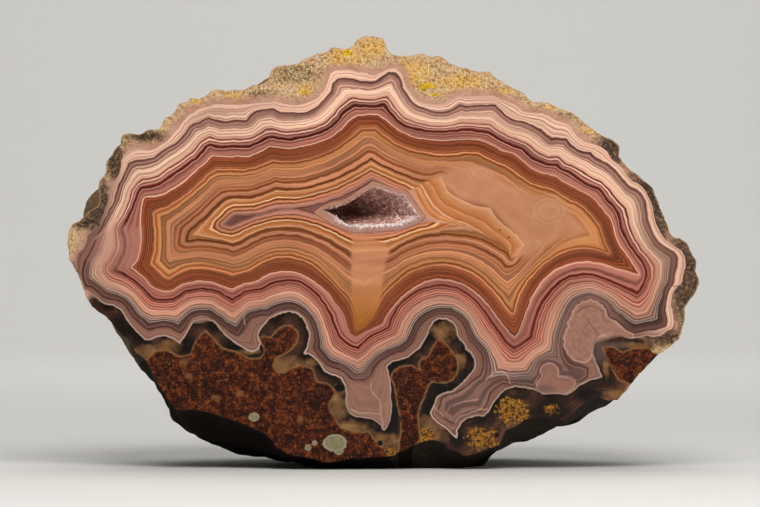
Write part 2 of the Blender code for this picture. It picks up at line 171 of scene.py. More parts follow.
# The thick wine-red line
wineLine = [
    (121, 229), (127, 220), (130, 214), (133, 207), (136, 200), (138, 193), (142, 188), (150, 187),
    (158, 185), (166, 180), (174, 174), (182, 169), (190, 163), (196, 159), (202, 153), (207, 147),
    (210, 145), (216, 147), (232, 147), (250, 147), (256, 144), (262, 141), (268, 138), (272, 137),
    (280, 139), (290, 140), (300, 138), (310, 136), (320, 133), (330, 128), (338, 121), (344, 113),
    (349, 109), (355, 106), (370, 107), (381, 106), (384, 105), (388, 111), (395, 119), (402, 125),
    (410, 128), (424, 131), (440, 132), (457, 131), (463, 130), (480, 132), (487, 132), (493, 136),
    (500, 140), (508, 144), (515, 147), (521, 149), (527, 154), (533, 159), (540, 162), (548, 165),
    (556, 165), (562, 170), (570, 173), (577, 178), (584, 183), (592, 187), (598, 189), (602, 193),
    (607, 200), (612, 206), (616, 211), (619, 219), (621, 228), (625, 237), (630, 246), (637, 256),
    (642, 262), (645, 268), (646, 274), (644, 282), (641, 290), (637, 293), (631, 290), (624, 287),
    (617, 284), (610, 281), (603, 278), (595, 275), (585, 274), (576, 275), (568, 277), (561, 281),
    (554, 287), (548, 294), (543, 300), (539, 308), (536, 316), (533, 327), (531, 337), (526, 341),
    (520, 345), (514, 348), (509, 345), (504, 339), (499, 332), (493, 324), (487, 315), (481, 307),
    (475, 300), (468, 294), (460, 289), (450, 286), (440, 285), (428, 287), (417, 291), (409, 296),
    (401, 303), (395, 311), (391, 319), (388, 328), (381, 331), (374, 334), (366, 340), (358, 348),
    (352, 346), (346, 342), (340, 337), (337, 331), (333, 323), (330, 314), (326, 306), (320, 298),
    (314, 291), (306, 285), (298, 281), (288, 280), (276, 282), (268, 285), (260, 289), (252, 290),
    (244, 292), (238, 296), (233, 300), (226, 296), (217, 291), (208, 289), (196, 289), (186, 291),
    (179, 295), (173, 299), (157, 299), (152, 297), (147, 292), (141, 286), (135, 281), (128, 276),
    (120, 272), (114, 270), (118, 265), (122, 258), (125, 250), (125, 241), (123, 234),
]
# Where mauve gives way to rust
pinkLine = [
    (142, 238), (141, 222), (142, 208), (143, 200), (146, 198), (155, 197), (163, 195), (170, 191),
    (178, 187), (186, 181), (193, 174), (200, 168), (206, 163), (210, 158), (213, 156), (220, 157),
    (234, 157), (248, 157), (256, 154), (264, 150), (270, 147), (280, 148), (290, 149), (300, 147),
    (310, 145), (320, 142), (330, 138), (338, 132), (345, 126), (351, 120), (357, 116), (368, 115),
    (378, 115), (384, 119), (390, 124), (397, 130), (405, 134), (415, 138), (428, 140), (445, 141),
    (463, 140), (480, 141), (488, 144), (496, 148), (504, 152), (512, 154), (517, 157), (523, 162),
    (531, 169), (540, 173), (550, 175), (556, 177), (563, 182), (571, 186), (580, 191), (590, 196),
    (595, 200), (601, 207), (606, 213), (610, 218), (613, 228), (616, 238), (621, 248), (627, 256),
    (633, 265), (639, 275), (631, 272), (621, 269), (613, 267), (605, 264), (595, 262), (585, 261),
    (575, 262), (565, 265), (556, 269), (549, 274), (542, 281), (536, 289), (531, 298), (527, 308),
    (523, 319), (519, 330), (515, 337), (510, 332), (505, 326), (498, 317), (492, 309), (486, 302),
    (478, 294), (470, 288), (460, 283), (450, 280), (440, 279), (429, 280), (420, 284), (411, 290),
    (403, 296), (396, 303), (390, 310), (386, 316), (383, 323), (376, 327), (367, 331), (356, 337),
    (350, 333), (347, 325), (345, 317), (341, 309), (336, 304), (331, 296), (326, 290), (318, 284),
    (311, 279), (304, 275), (296, 272), (288, 271), (280, 271), (271, 273), (264, 276), (258, 280),
    (252, 282), (244, 283), (238, 286), (233, 289), (226, 287), (216, 283), (207, 281), (197, 281),
    (187, 283), (179, 286), (172, 290), (168, 291), (160, 290), (152, 286), (146, 279), (139, 273),
    (132, 268), (136, 263), (139, 256), (141, 247),
]
# Where rust gives way to salmon
caramelLine = [
    (156, 214), (160, 212), (167, 210), (174, 206), (181, 201), (188, 196), (195, 190), (203, 183),
    (210, 176), (217, 172), (230, 172), (244, 172), (254, 170), (264, 167), (273, 163), (281, 164),
    (291, 164), (302, 163), (313, 160), (325, 156), (335, 151), (343, 146), (350, 141), (356, 136),
    (362, 131), (375, 131), (381, 136), (388, 141), (396, 146), (405, 150), (415, 153), (425, 155),
    (438, 157), (452, 157), (466, 155), (478, 156), (486, 160), (495, 164), (504, 168), (512, 173),
    (520, 179), (528, 184), (537, 188), (548, 191), (556, 194), (563, 199), (571, 203), (578, 206),
    (585, 212), (592, 220), (598, 228), (601, 237), (604, 246), (608, 252), (598, 248), (588, 246),
    (578, 246), (569, 248), (560, 251), (550, 257), (541, 264), (533, 272), (525, 281), (519, 291),
    (515, 302), (513, 312), (508, 307), (500, 296), (492, 287), (483, 278), (473, 271), (463, 266),
    (452, 263), (441, 262), (429, 263), (418, 266), (408, 270), (399, 277), (391, 284), (384, 291),
    (378, 300), (372, 311), (365, 321), (358, 328), (357, 318), (354, 308), (350, 299), (345, 293),
    (339, 287), (331, 278), (324, 271), (316, 264), (307, 259), (298, 256), (287, 254), (276, 255),
    (266, 258), (258, 262), (250, 267), (241, 270), (233, 272), (224, 269), (214, 267), (204, 265),
    (193, 265), (182, 268), (175, 272), (169, 276), (164, 272), (159, 267), (154, 263), (157, 252),
    (158, 240), (157, 226),
]
# The dark brown line round the golden middle
chocolateLine = [
    (187, 241), (189, 232), (197, 225), (205, 218), (213, 210), (219, 204), (224, 200), (229, 198),
    (240, 197), (250, 197), (258, 195), (266, 192), (276, 188), (286, 189), (298, 189), (310, 187),
    (320, 184), (330, 181), (340, 177), (349, 172), (357, 168), (365, 163), (371, 159), (377, 163),
    (385, 167), (394, 171), (404, 175), (414, 179), (423, 181), (432, 181), (441, 177), (444, 184),
    (449, 191), (456, 197), (465, 201), (476, 205), (488, 207), (493, 212), (499, 218), (505, 225),
    (512, 231), (518, 238), (523, 246), (517, 252), (511, 259), (508, 254), (500, 249), (491, 244),
    (480, 239), (468, 236), (457, 235), (446, 234), (436, 235), (426, 236), (416, 239), (406, 243),
    (397, 248), (389, 253), (378, 254), (366, 254), (353, 257), (346, 252), (338, 247), (329, 241),
    (320, 237), (310, 233), (300, 230), (289, 229), (278, 229), (268, 230), (259, 233), (250, 237),
    (241, 242), (233, 245), (226, 243), (216, 241), (204, 240), (195, 240),
]
# The edge of the quartz in the middle
quartzRim = [
    (223, 225), (230, 218), (235, 214), (245, 214), (255, 213), (262, 212), (270, 209), (280, 207),
    (292, 207), (304, 205), (315, 203), (325, 200), (335, 197), (343, 194), (350, 190), (357, 187),
    (365, 182), (372, 178), (378, 181), (386, 185), (394, 189), (403, 192), (408, 196), (411, 203),
    (416, 211), (425, 220), (414, 222), (405, 226), (396, 229), (380, 230), (362, 231), (353, 230),
    (345, 227), (336, 223), (327, 219), (317, 216), (306, 213), (295, 211), (283, 211), (272, 213),
    (260, 216), (250, 219), (240, 223), (231, 227),
]
# The mouth of the open hollow
vugMouth = [
    (322, 210), (333, 207), (345, 204), (352, 200), (360, 195), (367, 190), (372, 187), (380, 188),
    (388, 191), (396, 193), (404, 195), (409, 202), (414, 209), (419, 216), (414, 219), (408, 221),
    (400, 224), (380, 225), (360, 226), (352, 226), (346, 224), (340, 220), (333, 215), (326, 212),
]
# Host rock on the face: the large corner, the mushroom with its stalk, and the island
cornerRock = [
    (120, 380), (144, 361), (148, 359), (157, 352), (168, 350), (174, 354), (180, 357), (186, 356),
    (191, 355), (193, 349), (195, 344), (202, 334), (206, 331), (210, 336), (215, 341), (224, 349),
    (232, 351), (240, 354), (251, 359), (261, 358), (264, 354), (265, 350), (262, 344), (259, 339),
    (264, 336), (270, 339), (275, 333), (282, 327), (291, 326), (297, 333), (297, 341), (292, 348),
    (284, 354), (275, 358), (273, 366), (278, 373), (287, 372), (293, 368), (307, 367), (313, 370),
    (315, 377), (317, 382), (327, 384), (335, 390), (333, 397), (328, 406), (331, 414), (336, 421),
    (342, 429), (356, 433), (369, 432), (373, 438), (377, 443), (385, 451), (390, 458), (396, 490),
    (120, 490),
]
mushroomRock = [
    (401, 490), (399, 446), (401, 433), (401, 420), (398, 406), (396, 393), (394, 384), (391, 377),
    (393, 373), (400, 367), (413, 366), (417, 370), (421, 371), (419, 364), (422, 359), (428, 357),
    (434, 346), (440, 338), (447, 346), (454, 355), (458, 366), (456, 375), (447, 382), (438, 382),
    (431, 381), (428, 386), (425, 395), (420, 406), (418, 415), (419, 429), (420, 440), (414, 447),
    (410, 490),
]
islandRock = [
    (603, 348), (612, 347), (618, 350), (623, 353), (632, 349), (640, 348), (648, 349), (656, 354),
    (690, 362), (650, 402), (632, 385), (626, 382), (620, 380), (614, 371), (608, 359),
]
# The bed of rock under and behind the agate, seen along the face
bedRock = [
    (20, 330), (120, 345), (200, 366), (300, 392), (400, 405), (500, 396), (580, 372),
    (650, 348), (740, 330), (740, 520), (20, 520),
]
# The body of the stone behind the face
girthMiddle = (385, 260)
girth = [
    (73, 244), (84, 215), (104, 184), (124, 150), (162, 130), (200, 107), (240, 97), (285, 72),
    (330, 57), (372, 46), (420, 63), (470, 78), (520, 102), (570, 120), (613, 150), (648, 195),
    (674, 245), (690, 275), (682, 305), (675, 338), (644, 370), (614, 401), (576, 430),
    (520, 447), (484, 463), (458, 472), (400, 477), (345, 476), (312, 467), (280, 460),
    (240, 448), (186, 437), (170, 422), (158, 398), (135, 370), (120, 345), (107, 318),
    (84, 292), (71, 262),
]
# The hollow cut in the agate, which the quartz lines
hollow = [
    (313, 212), (322, 206), (333, 202), (345, 199), (352, 195), (360, 189), (367, 185),
    (372, 181), (380, 183), (388, 186), (396, 189), (407, 191), (413, 199), (418, 206),
    (426, 217), (418, 224), (410, 227), (400, 230), (388, 231), (374, 232), (360, 233),
    (350, 232), (342, 229), (333, 225), (322, 218),
]
hollowMiddle = (378, 212)


def onFace(points):
    # sketch units to x and z in millimetres
    points = np.asarray(points, dtype=float).reshape(-1, 2)
    across = (points[:, 0] - stone["sketchMiddle"]) * unit
    up = (stone["sketchGround"] - points[:, 1]) * unit
    return np.stack([across, up], axis=1)


def smoothLine(points, step, sharpest=42.0):
    # a closed line through the points, rounded except where it turns sharply
    points = np.asarray(points, dtype=float)
    before = np.roll(points, 1, axis=0)
    after = np.roll(points, -1, axis=0)
    arriving = points - before
    leaving = after - points
    arrivingLength = np.linalg.norm(arriving, axis=1)
    leavingLength = np.linalg.norm(leaving, axis=1)
    arriving /= arrivingLength[:, None]
    leaving /= leavingLength[:, None]
    turn = np.degrees(np.arccos(np.clip((arriving * leaving).sum(axis=1), -1, 1)))
    heading = arriving * leavingLength[:, None] + leaving * arrivingLength[:, None]
    heading /= np.maximum(np.linalg.norm(heading, axis=1), 1e-9)[:, None]
    sharp = turn > sharpest
    headingOut = np.where(sharp[:, None], leaving, heading)
    headingIn = np.where(sharp[:, None], arriving, heading)
    line = []
    for i in range(len(points)):
        j = (i + 1) % len(points)
        length = leavingLength[i]
        count = max(int(math.ceil(length / step)), 1)
        t = (np.arange(count) / count)[:, None]
        start = points[i] * (2 * t**3 - 3 * t**2 + 1)
        end = points[j] * (3 * t**2 - 2 * t**3)
        out = headingOut[i] * length * (t**3 - 2 * t**2 + t)
        into = headingIn[j] * length * (t**3 - t**2)
        line.append(start + end + out + into)
    return np.concatenate(line)


def isWithin(points, places, edges):
    # even-odd test of many points against loose edges that close round a region
    inside = np.zeros(len(points), dtype=bool)
    x, y = points[:, 0], points[:, 1]
    for a, b in edges:
        (ax, ay), (bx, by) = places[a], places[b]
        if ay != by:
            inside ^= ((ay > y) != (by > y)) & (x < (bx - ax) * (y - ay) / (by - ay) + ax)
    return inside


def isInside(points, line):
    count = len(line)
    return isWithin(points, line, [(i, (i + 1) % count) for i in range(count)])


def distanceTo(points, line):
    tree = kdtree.KDTree(len(line))
    for i, place in enumerate(line):
        tree.insert((place[0], place[1], 0.0), i)
    tree.balance()
    return np.array([tree.find((place[0], place[1], 0.0))[2] for place in points])


def eased(value):
    value = min(max(value, 0.0), 1.0)
    return value * value * (3.0 - 2.0 * value)


def skinLump(place):
    broad = noise.noise(place / stone["broadLumpSpan"])
    knob = 0.5 - noise.voronoi(place / stone["knobSpan"])[0][0]
    grit = noise.noise(place / stone["gritSpan"])
    grit += 0.5 * noise.noise(place * 2.3 / stone["gritSpan"])
    return stone["broadLump"] * broad + stone["knob"] * knob + stone["grit"] * grit


def makeObject(name, mesh):
    bmesh.ops.recalc_face_normals(mesh, faces=mesh.faces)
    data = bpy.data.meshes.new(name)
    mesh.to_mesh(data)
    mesh.free()
    item = bpy.data.objects.new(name, data)
    bpy.context.scene.collection.objects.link(item)
    return item


def addRing(mesh, places):
    return [mesh.verts.new(Vector(place) * metresPerMm) for place in places]


def joinRings(mesh, first, second):
    # quads between rings of one size, or triangles down to a ring of half the size
    faces = []
    count = len(second)
    if len(first) == count:
        for i in range(count):
            j = (i + 1) % count
            faces.append(mesh.faces.new((first[i], first[j], second[j], second[i])))
        return faces
    for i in range(count):
        start, between, end = (first[(2 * i + step) % len(first)] for step in (0, 1, 2))
        near, far = second[i], second[(i + 1) % count]
        faces.append(mesh.faces.new((start, between, near)))
        faces.append(mesh.faces.new((between, far, near)))
        faces.append(mesh.faces.new((between, end, far)))
    return faces


def closeRing(mesh, ring, place):
    tip = mesh.verts.new(Vector(place) * metresPerMm)
    return [mesh.faces.new((ring[i], ring[(i + 1) % len(ring)], tip)) for i in range(len(ring))]


def evenly(line, count):
    # the closed line as that many points, evenly spaced along it
    closed = np.concatenate([line, line[:1]])
    along = np.concatenate([[0.0], np.cumsum(np.linalg.norm(np.diff(closed, axis=0), axis=1))])
    stops = np.arange(count) / count * along[-1]
    return np.stack([np.interp(stops, along, closed[:, axis]) for axis in (0, 1)], axis=1)


def chipped(line, span, size, seed):
    # the line with its points moved by a noise in the plane of the face; the seed is the
    # slice of the noise that the line lies in
    for i, place in enumerate(line):
        wander = noise.noise_vector(Vector((place[0] / span, place[1] / span, seed)))
        line[i] += np.array([wander.x, wander.y]) * size
    return line


def makeStone(name):
    # the whole half nodule, as in the CAD, with a finer edge and skin
    middle = onFace([girthMiddle])[0]
    edge = evenly(smoothLine(onFace(faceEdge), 0.1, sharpest=30.0), stone["columns"])
    edge = chipped(edge, stone["edgeSpan"], stone["edgeRoughness"], seed=3.7)
    angles = np.unwrap(np.arctan2(edge[:, 1] - middle[1], edge[:, 0] - middle[0]))
    angles = np.minimum.accumulate(angles)
    body = onFace(girth) - middle
    bodyAngles = np.arctan2(body[:, 1], body[:, 0])
    order = np.argsort(bodyAngles)
    bodyRadii = np.linalg.norm(body, axis=1)
    radii = np.interp(angles, bodyAngles[order], bodyRadii[order], period=2 * math.pi)
    # each ring as its depth, how far it has closed and which of the points it keeps
    shoulder = stone["shoulder"]
    stations = [(shoulder * i / stone["frontRings"], 0.0, 1) for i in range(stone["frontRings"] + 1)]
    for degrees in range(stone["backStep"], 90, stone["backStep"]):
        closing = math.sin(math.radians(degrees))
        every = max(kept for start, kept in stone["thinning"] if degrees >= start)
        stations.append((shoulder + (stone["depth"] - shoulder) * closing, closing, every))
    core = Vector((middle[0], stone["faceY"] + shoulder, middle[1]))
    mesh = bmesh.new()
    rings = []
    for depth, closing, every in stations:
        ring = []
        for place, angle, radius in list(zip(edge, angles, radii))[::every]:
            outward = np.array([math.cos(angle), math.sin(angle)])
            flow = eased(depth / shoulder)
            flat = place * (1 - flow) + (middle + outward * radius) * flow
            underside = max(0.0, -math.sin(angle)) ** stone["baseFocus"]
            roundness = stone["sideRoundness"]
            roundness += (stone["baseRoundness"] - roundness) * underside
            flat = middle + (flat - middle) * (1.0 - closing ** roundness) ** (1.0 / roundness)
            spot = Vector((flat[0], stone["faceY"] + depth, flat[1]))
            lift = skinLump(spot) * eased(depth / stone["lumpRise"])
            ring.append(spot + (spot - core).normalized() * lift)
        rings.append(addRing(mesh, ring))
    mesh.faces.new(rings[0])
    for first, second in zip(rings, rings[1:]):
        joinRings(mesh, first, second)
    closeRing(mesh, rings[-1], (middle[0], stone["faceY"] + stone["depth"], middle[1]))
    return makeObject(name, mesh)


def makePrism(name, outline, front, back):
    # a flat outline drawn out from front to back, as a cutter
    mesh = bmesh.new()
    rings = []
    for y in (front, back):
        rings.append(addRing(mesh, [(x, y, z) for x, z in outline]))
    joinRings(mesh, rings[0], rings[1])
    mesh.faces.new(rings[0])
    mesh.faces.new(rings[1])
    return makeObject(name, mesh)


def carve(item, steps):
    # runs exact Booleans on the item and keeps their result
    for operation, cutter in steps:
        modifier = item.modifiers.new(operation.lower(), "BOOLEAN")
        modifier.operation = operation
        modifier.solver = "EXACT"
        modifier.object = cutter
    seen = item.evaluated_get(bpy.context.evaluated_depsgraph_get())
    data = bpy.data.meshes.new_from_object(seen)
    item.modifiers.clear()
    item.data = data


hostRock = {
    "edgeStep": 0.4,            # mm between the points of an outline
    "chipSpan": 0.9,            # mm along a chip of its edge
    # what shows on the face: outline, mm of the chips, their seed, where it starts and ends in mm
    "shown": {
        "Corner": (cornerRock, 0.22, 1.5, -20.0, 2.0),
        "Mushroom": (mushroomRock, 0.2, 5.5, -20.1, 4.0),
        "Island": (islandRock, 0.18, 9.5, -20.2, 6.0),
    },
    "bed": (-9.0, 32.0),        # mm, where the bed starts and ends
}


def makeRock(name):
    # all the host rock's volume in one cutter
    pieces = []
    for part, (outline, size, seed, front, back) in hostRock["shown"].items():
        line = smoothLine(onFace(outline), 0.1, sharpest=35.0)
        length = np.linalg.norm(np.diff(line, axis=0), axis=1).sum()
        line = evenly(line, int(length / hostRock["edgeStep"]))
        line = chipped(line, hostRock["chipSpan"], size, seed)
        pieces.append(makePrism(name + part, line, front, back))
    pieces.append(makePrism(name + "Bed", onFace(bedRock), *hostRock["bed"]))
    carve(pieces[0], [("UNION", other) for other in pieces[1:]])
    for other in pieces[1:]:
        bpy.data.objects.remove(other, do_unlink=True)
    return pieces[0]


# The hollow's room behind its mouth as (share of its depth, width)
hollowProfile = [(0.0, 1.0), (0.3, 1.02), (0.55, 0.97), (0.75, 0.82), (0.9, 0.58), (0.98, 0.3)]


def hollowRings(outline, depth, start=0.0):
    middle = onFace([hollowMiddle])[0]
    result = []
    for share, width in hollowProfile:
        y = stone["faceY"] + depth * share - (start if share == 0.0 else 0.0)
        flat = middle + (outline - middle) * width
        result.append([(x, y, z) for x, z in flat])
    return result


def makeHollowCutter():
    mesh = bmesh.new()
    outline = evenly(smoothLine(onFace(hollow), 0.05), stone["hollowColumns"])
    places = hollowRings(outline, stone["hollowDepth"], stone["cutMargin"])
    made = [addRing(mesh, ring) for ring in places]
    mesh.faces.new(made[0])
    for first, second in zip(made, made[1:]):
        joinRings(mesh, first, second)
    middle = onFace([hollowMiddle])[0]
    closeRing(mesh, made[-1], (middle[0], stone["faceY"] + stone["hollowDepth"], middle[1]))
    return makeObject("hollowCutter", mesh)


def refineFace(item, spacing):
    # swaps the flat front for an even, fine mesh that shares its border
    faceY = stone["faceY"] * metresPerMm
    mesh = bmesh.new()
    mesh.from_mesh(item.data)
    front = set()
    for face in mesh.faces:
        if face.normal.y < -0.999 and all(abs(v.co.y - faceY) < 1e-6 for v in face.verts):
            front.add(face)
    border = [edge for edge in mesh.edges if sum(face in front for face in edge.link_faces) == 1]
    rim = list(dict.fromkeys(vert for edge in border for vert in edge.verts))
    place = {vert: i for i, vert in enumerate(rim)}
    edges = [tuple(place[vert] for vert in edge.verts) for edge in border]
    rimPlaces = np.array([(vert.co.x, vert.co.z) for vert in rim]) / metresPerMm
    low, high = rimPlaces.min(axis=0), rimPlaces.max(axis=0)
    rowStep = spacing * math.sqrt(3) / 2
    rows = np.arange(low[1], high[1], rowStep)
    grid = []
    for i, z in enumerate(rows):
        xs = np.arange(low[0] + (i % 2) * spacing / 2, high[0], spacing)
        grid.append(np.stack([xs, np.full(len(xs), z)], axis=1))
    grid = np.concatenate(grid)
    grid = grid[isWithin(grid, rimPlaces, edges)]
    # no grid point within half a spacing of the border
    shares = (0.0, 0.33, 0.67)
    steps = [rimPlaces[a] + (rimPlaces[b] - rimPlaces[a]) * t for a, b in edges for t in shares]
    grid = grid[distanceTo(grid, steps) > spacing * 0.5]
    flat = [Vector(p) for p in np.concatenate([rimPlaces, grid])]
    places, _, faces, origins, _, _ = delaunay_2d_cdt(flat, edges, [], 0, 1e-7, True)
    placeArray = np.array([tuple(p) for p in places])
    middles = np.array([placeArray[corners].mean(axis=0) for corners in faces])
    faces = [corners for corners, keep in zip(faces, isWithin(middles, rimPlaces, edges)) if keep]
    bmesh.ops.delete(mesh, geom=list(front), context="FACES_ONLY")
    verts = []
    for spot, origin in zip(places, origins):
        known = [i for i in origin if i < len(rim)]
        if known:
            verts.append(rim[known[0]])
        else:
            verts.append(mesh.verts.new((spot.x * metresPerMm, faceY, spot.y * metresPerMm)))
    for face in mesh.faces:
        face.smooth = True
        face.material_index = 1
    for corners in faces:
        face = mesh.faces.new([verts[i] for i in corners])
        face.smooth = False
        face.material_index = 0
    mesh.normal_update()
    for face in mesh.faces:
        if face.material_index == 0 and face.normal.y > 0:
            face.normal_flip()
    loose = [edge for edge in mesh.edges if not edge.link_faces]
    bmesh.ops.delete(mesh, geom=loose, context="EDGES")
    data = bpy.data.meshes.new(item.name)
    mesh.to_mesh(data)
    mesh.free()
    old = item.data
    item.data = data
    bpy.data.meshes.remove(old)


# All that is below the floor is cut away: the cutter's section and its ends, in mm
belowFloor = np.array([(-100.0, -60.0), (100.0, -60.0), (100.0, 0.0), (-100.0, 0.0)])
floorCutter = makePrism("floorCutter", belowFloor, -60, 60)
rockMass = makeRock("rockMass")
hollowCutter = makeHollowCutter()
agateStone = makeStone("agateStone")
lavaRock = makeStone("lavaRock")
carve(agateStone, [("DIFFERENCE", cutter) for cutter in (floorCutter, rockMass, hollowCutter)])
carve(lavaRock, [("DIFFERENCE", floorCutter), ("INTERSECT", rockMass)])
for cutter in (floorCutter, rockMass, hollowCutter):
    bpy.data.objects.remove(cutter, do_unlink=True)
print("stone cut:", len(agateStone.data.polygons), len(lavaRock.data.polygons))
refineFace(agateStone, stone["faceSpacing"])
refineFace(lavaRock, stone["rockSpacing"])
print("faces refined:", len(agateStone.data.polygons), len(lavaRock.data.polygons))


# What lies where on the face: outlines of patches with a look of their own
facePatches = {
    "bulge": [
        (113, 214), (121, 222), (130, 227), (141, 227), (141, 240), (139, 252), (131, 268), (114, 272),
        (100, 271), (91, 268), (88, 259), (94, 246), (96, 238), (104, 230), (110, 222),
    ],
    "plain": [
        (441, 177), (447, 172), (470, 167), (490, 175), (510, 186), (532, 195), (555, 203), (570, 215),
        (587, 231), (575, 235), (560, 238), (545, 245), (530, 256), (516, 256), (523, 246), (512, 231),
        (499, 218), (488, 207), (465, 201), (449, 191),
    ],
    "golden": [
        (417, 187), (424, 182), (432, 179), (441.5, 176), (444.4, 183), (449.6, 192.5), (458, 197.8),
        (468.5, 203), (479, 206.2), (490, 207.8), (493.7, 213.5), (500, 222), (508.4, 228.2),
        (515.7, 233.5), (525, 245), (518, 254), (511, 259), (509, 251), (500, 243), (491, 238),
        (481, 233), (466, 229.5), (452, 225), (440, 223), (426, 221.5), (420, 213), (414, 205),
        (410, 197), (407, 191),
    ],
    "column": [
        (352, 233), (362, 235), (378, 240), (391, 247), (386, 262), (383, 280), (381, 296), (377, 311),
        (369, 323), (360, 330), (356, 330), (353, 318), (352, 300), (351, 270),
    ],
    "ear": [
        (588, 362), (583, 363), (579, 362.5), (576, 361.4), (572, 359.5), (570, 357), (567.5, 355),
        (566.4, 351.4), (564, 348), (563.4, 344), (564.4, 341), (563, 338), (563.6, 335), (565, 333),
        (565.4, 330), (567.6, 327), (567, 323), (568.6, 320), (570, 317), (571.4, 314.3), (572, 311),
        (574.3, 308.6), (576, 305), (579, 303.4), (582, 300.6), (586, 300.4), (590, 299), (594, 300.2),
        (598, 300.6), (600, 303), (603, 305), (604.4, 308), (606.6, 310), (607.2, 314), (608.8, 317),
        (613, 319), (616.5, 321.5), (618.8, 324.6), (622, 326.4), (624.6, 328.8), (628.6, 331),
        (634.4, 334.2), (633, 339), (626, 339.6), (618.6, 338.6), (612, 337), (606, 337.5), (601, 341),
        (596, 345), (593.4, 351), (592.5, 357),
    ],
    "lobe": [
        (352, 380), (364, 380), (372, 372), (386, 366), (391, 380), (392, 408), (388, 426), (384, 432),
        (372, 421), (352, 415), (345, 398), (346, 382),
    ],
    "knobs": [
        (541.4, 376.5), (540.5, 369), (542, 366), (545, 364), (550, 362.8), (555.7, 365.5),
        (558.6, 370), (558.4, 376), (564, 376.4), (570, 377.9), (575.7, 380.5), (575, 387), (568, 393),
        (553, 394), (542, 393), (536, 389), (536, 382),
    ],
    "below": [
        (92, 296), (120, 304), (160, 320), (300, 300), (440, 310), (560, 350), (640, 338), (654, 345),
        (640, 372), (622, 396), (600, 500), (60, 500), (60, 330),
    ],
}
# Soft spots as (x, y, half width, half height)
faceSpots = {
    "olive": [
        (146, 353, 12, 7), (170, 346, 11, 5), (284, 366, 15, 9), (337, 406, 10, 15), (352, 428, 18, 7),
        (380, 442, 20, 9), (391, 452, 9, 7), (443, 332, 11, 9), (460, 361, 6, 7), (430, 432, 14, 16),
        (414, 372, 8, 4), (248, 352, 10, 3), (310, 363, 8, 4), (606, 368, 3, 10), (618, 395, 12, 5),
        (640, 346, 20, 3),
    ],
    "moss": [
        (513, 412, 15, 12), (507, 404, 8, 7), (483, 438, 15, 10), (551, 409, 7, 5), (428, 438, 8, 8),
        (417, 443, 4, 5), (390, 452, 7, 4),
    ],
    "dark": [
        (340, 388, 6, 4), (428.5, 374, 3.5, 2.6), (403, 418, 4, 6), (497, 435, 2.5, 2.5),
        (436, 447, 12, 5), (499.8, 229.8, 1.2, 1), (508.7, 237.5, 1.3, 1.1), (514.4, 233, 1, 1),
        (380, 443, 3, 3),
    ],
    "gold": [
        (305, 90, 9, 6), (346, 58, 20, 12), (372, 48, 14, 12), (426, 86, 9, 4), (195, 102, 5, 3),
        (86, 214, 5, 3), (232, 97, 10, 4), (410, 72, 22, 12), (460, 82, 26, 8), (551, 107, 12, 2.5),
        (590, 131, 7, 3), (612, 147, 6, 4), (684, 290, 4, 5), (662, 340, 7, 4), (500, 92, 14, 4),
    ],
    "sun": [
        (427, 86, 9, 2.6), (423, 88, 4, 2.5), (436, 95, 8, 1.6), (304, 92, 4, 2), (347, 53, 5, 3),
        (197, 101, 2, 1.4),
    ],
    "grey": [
        (296, 74, 26, 9), (95, 224, 14, 6), (262, 95, 14, 6), (548, 116, 30, 5), (676, 300, 10, 40),
        (130, 142, 20, 6),
    ],
    "dusk": [
        (76, 285, 9, 20), (84, 222, 14, 8), (98, 205, 14, 34), (116, 162, 10, 20), (688, 268, 20, 64),
        (650, 206, 24, 64), (612, 150, 18, 18), (146, 136, 20, 6), (662, 335, 20, 12),
    ],
    "night": [
        (396, 361, 13, 7), (393, 424, 6, 18), (465, 352, 4, 24), (444, 387, 16, 5), (429, 408, 6, 16),
        (339, 387, 9, 5), (496, 398, 11, 12), (189, 345, 11, 9), (245, 350, 22, 7), (549, 412, 26, 10),
        (118, 330, 10, 14), (452, 326, 20, 5), (590, 395, 14, 8),
    ],
    "mauve": [
        (556, 335, 30, 50), (590, 305, 40, 20), (466, 400, 34, 36), (545, 375, 40, 14),
        (365, 400, 26, 36), (580, 372, 16, 8),
    ],
    "smoke": [(600, 350, 7, 14), (526, 380, 9, 5), (545, 389, 10, 4), (620, 345, 20, 3)],
    "eyes": [(480, 173, 12, 7), (549, 211, 15, 12)],
}
rockSpots = {
    "chips": [
        (335, 443, 11, 8), (254, 417, 5, 4), (308, 447.5, 3, 3), (314.5, 443, 2.5, 2.5),
        (339, 452, 4, 2.5),
    ],
    "stains": [
        (240, 394, 6, 4), (189, 376, 5, 4), (216, 398, 5, 4), (184, 362, 5, 4), (300, 420, 4, 5),
        (228, 424, 7, 3),
    ],
    # painted shade in pits of the sawn lava
    "pitShade": [
        (325, 430, 9, 4), (290, 440, 10, 5), (230, 410, 9, 5), (262, 440, 9, 4), (315, 405, 6, 8),
        (450, 388, 8, 8), (420, 405, 6, 10),
    ],
}
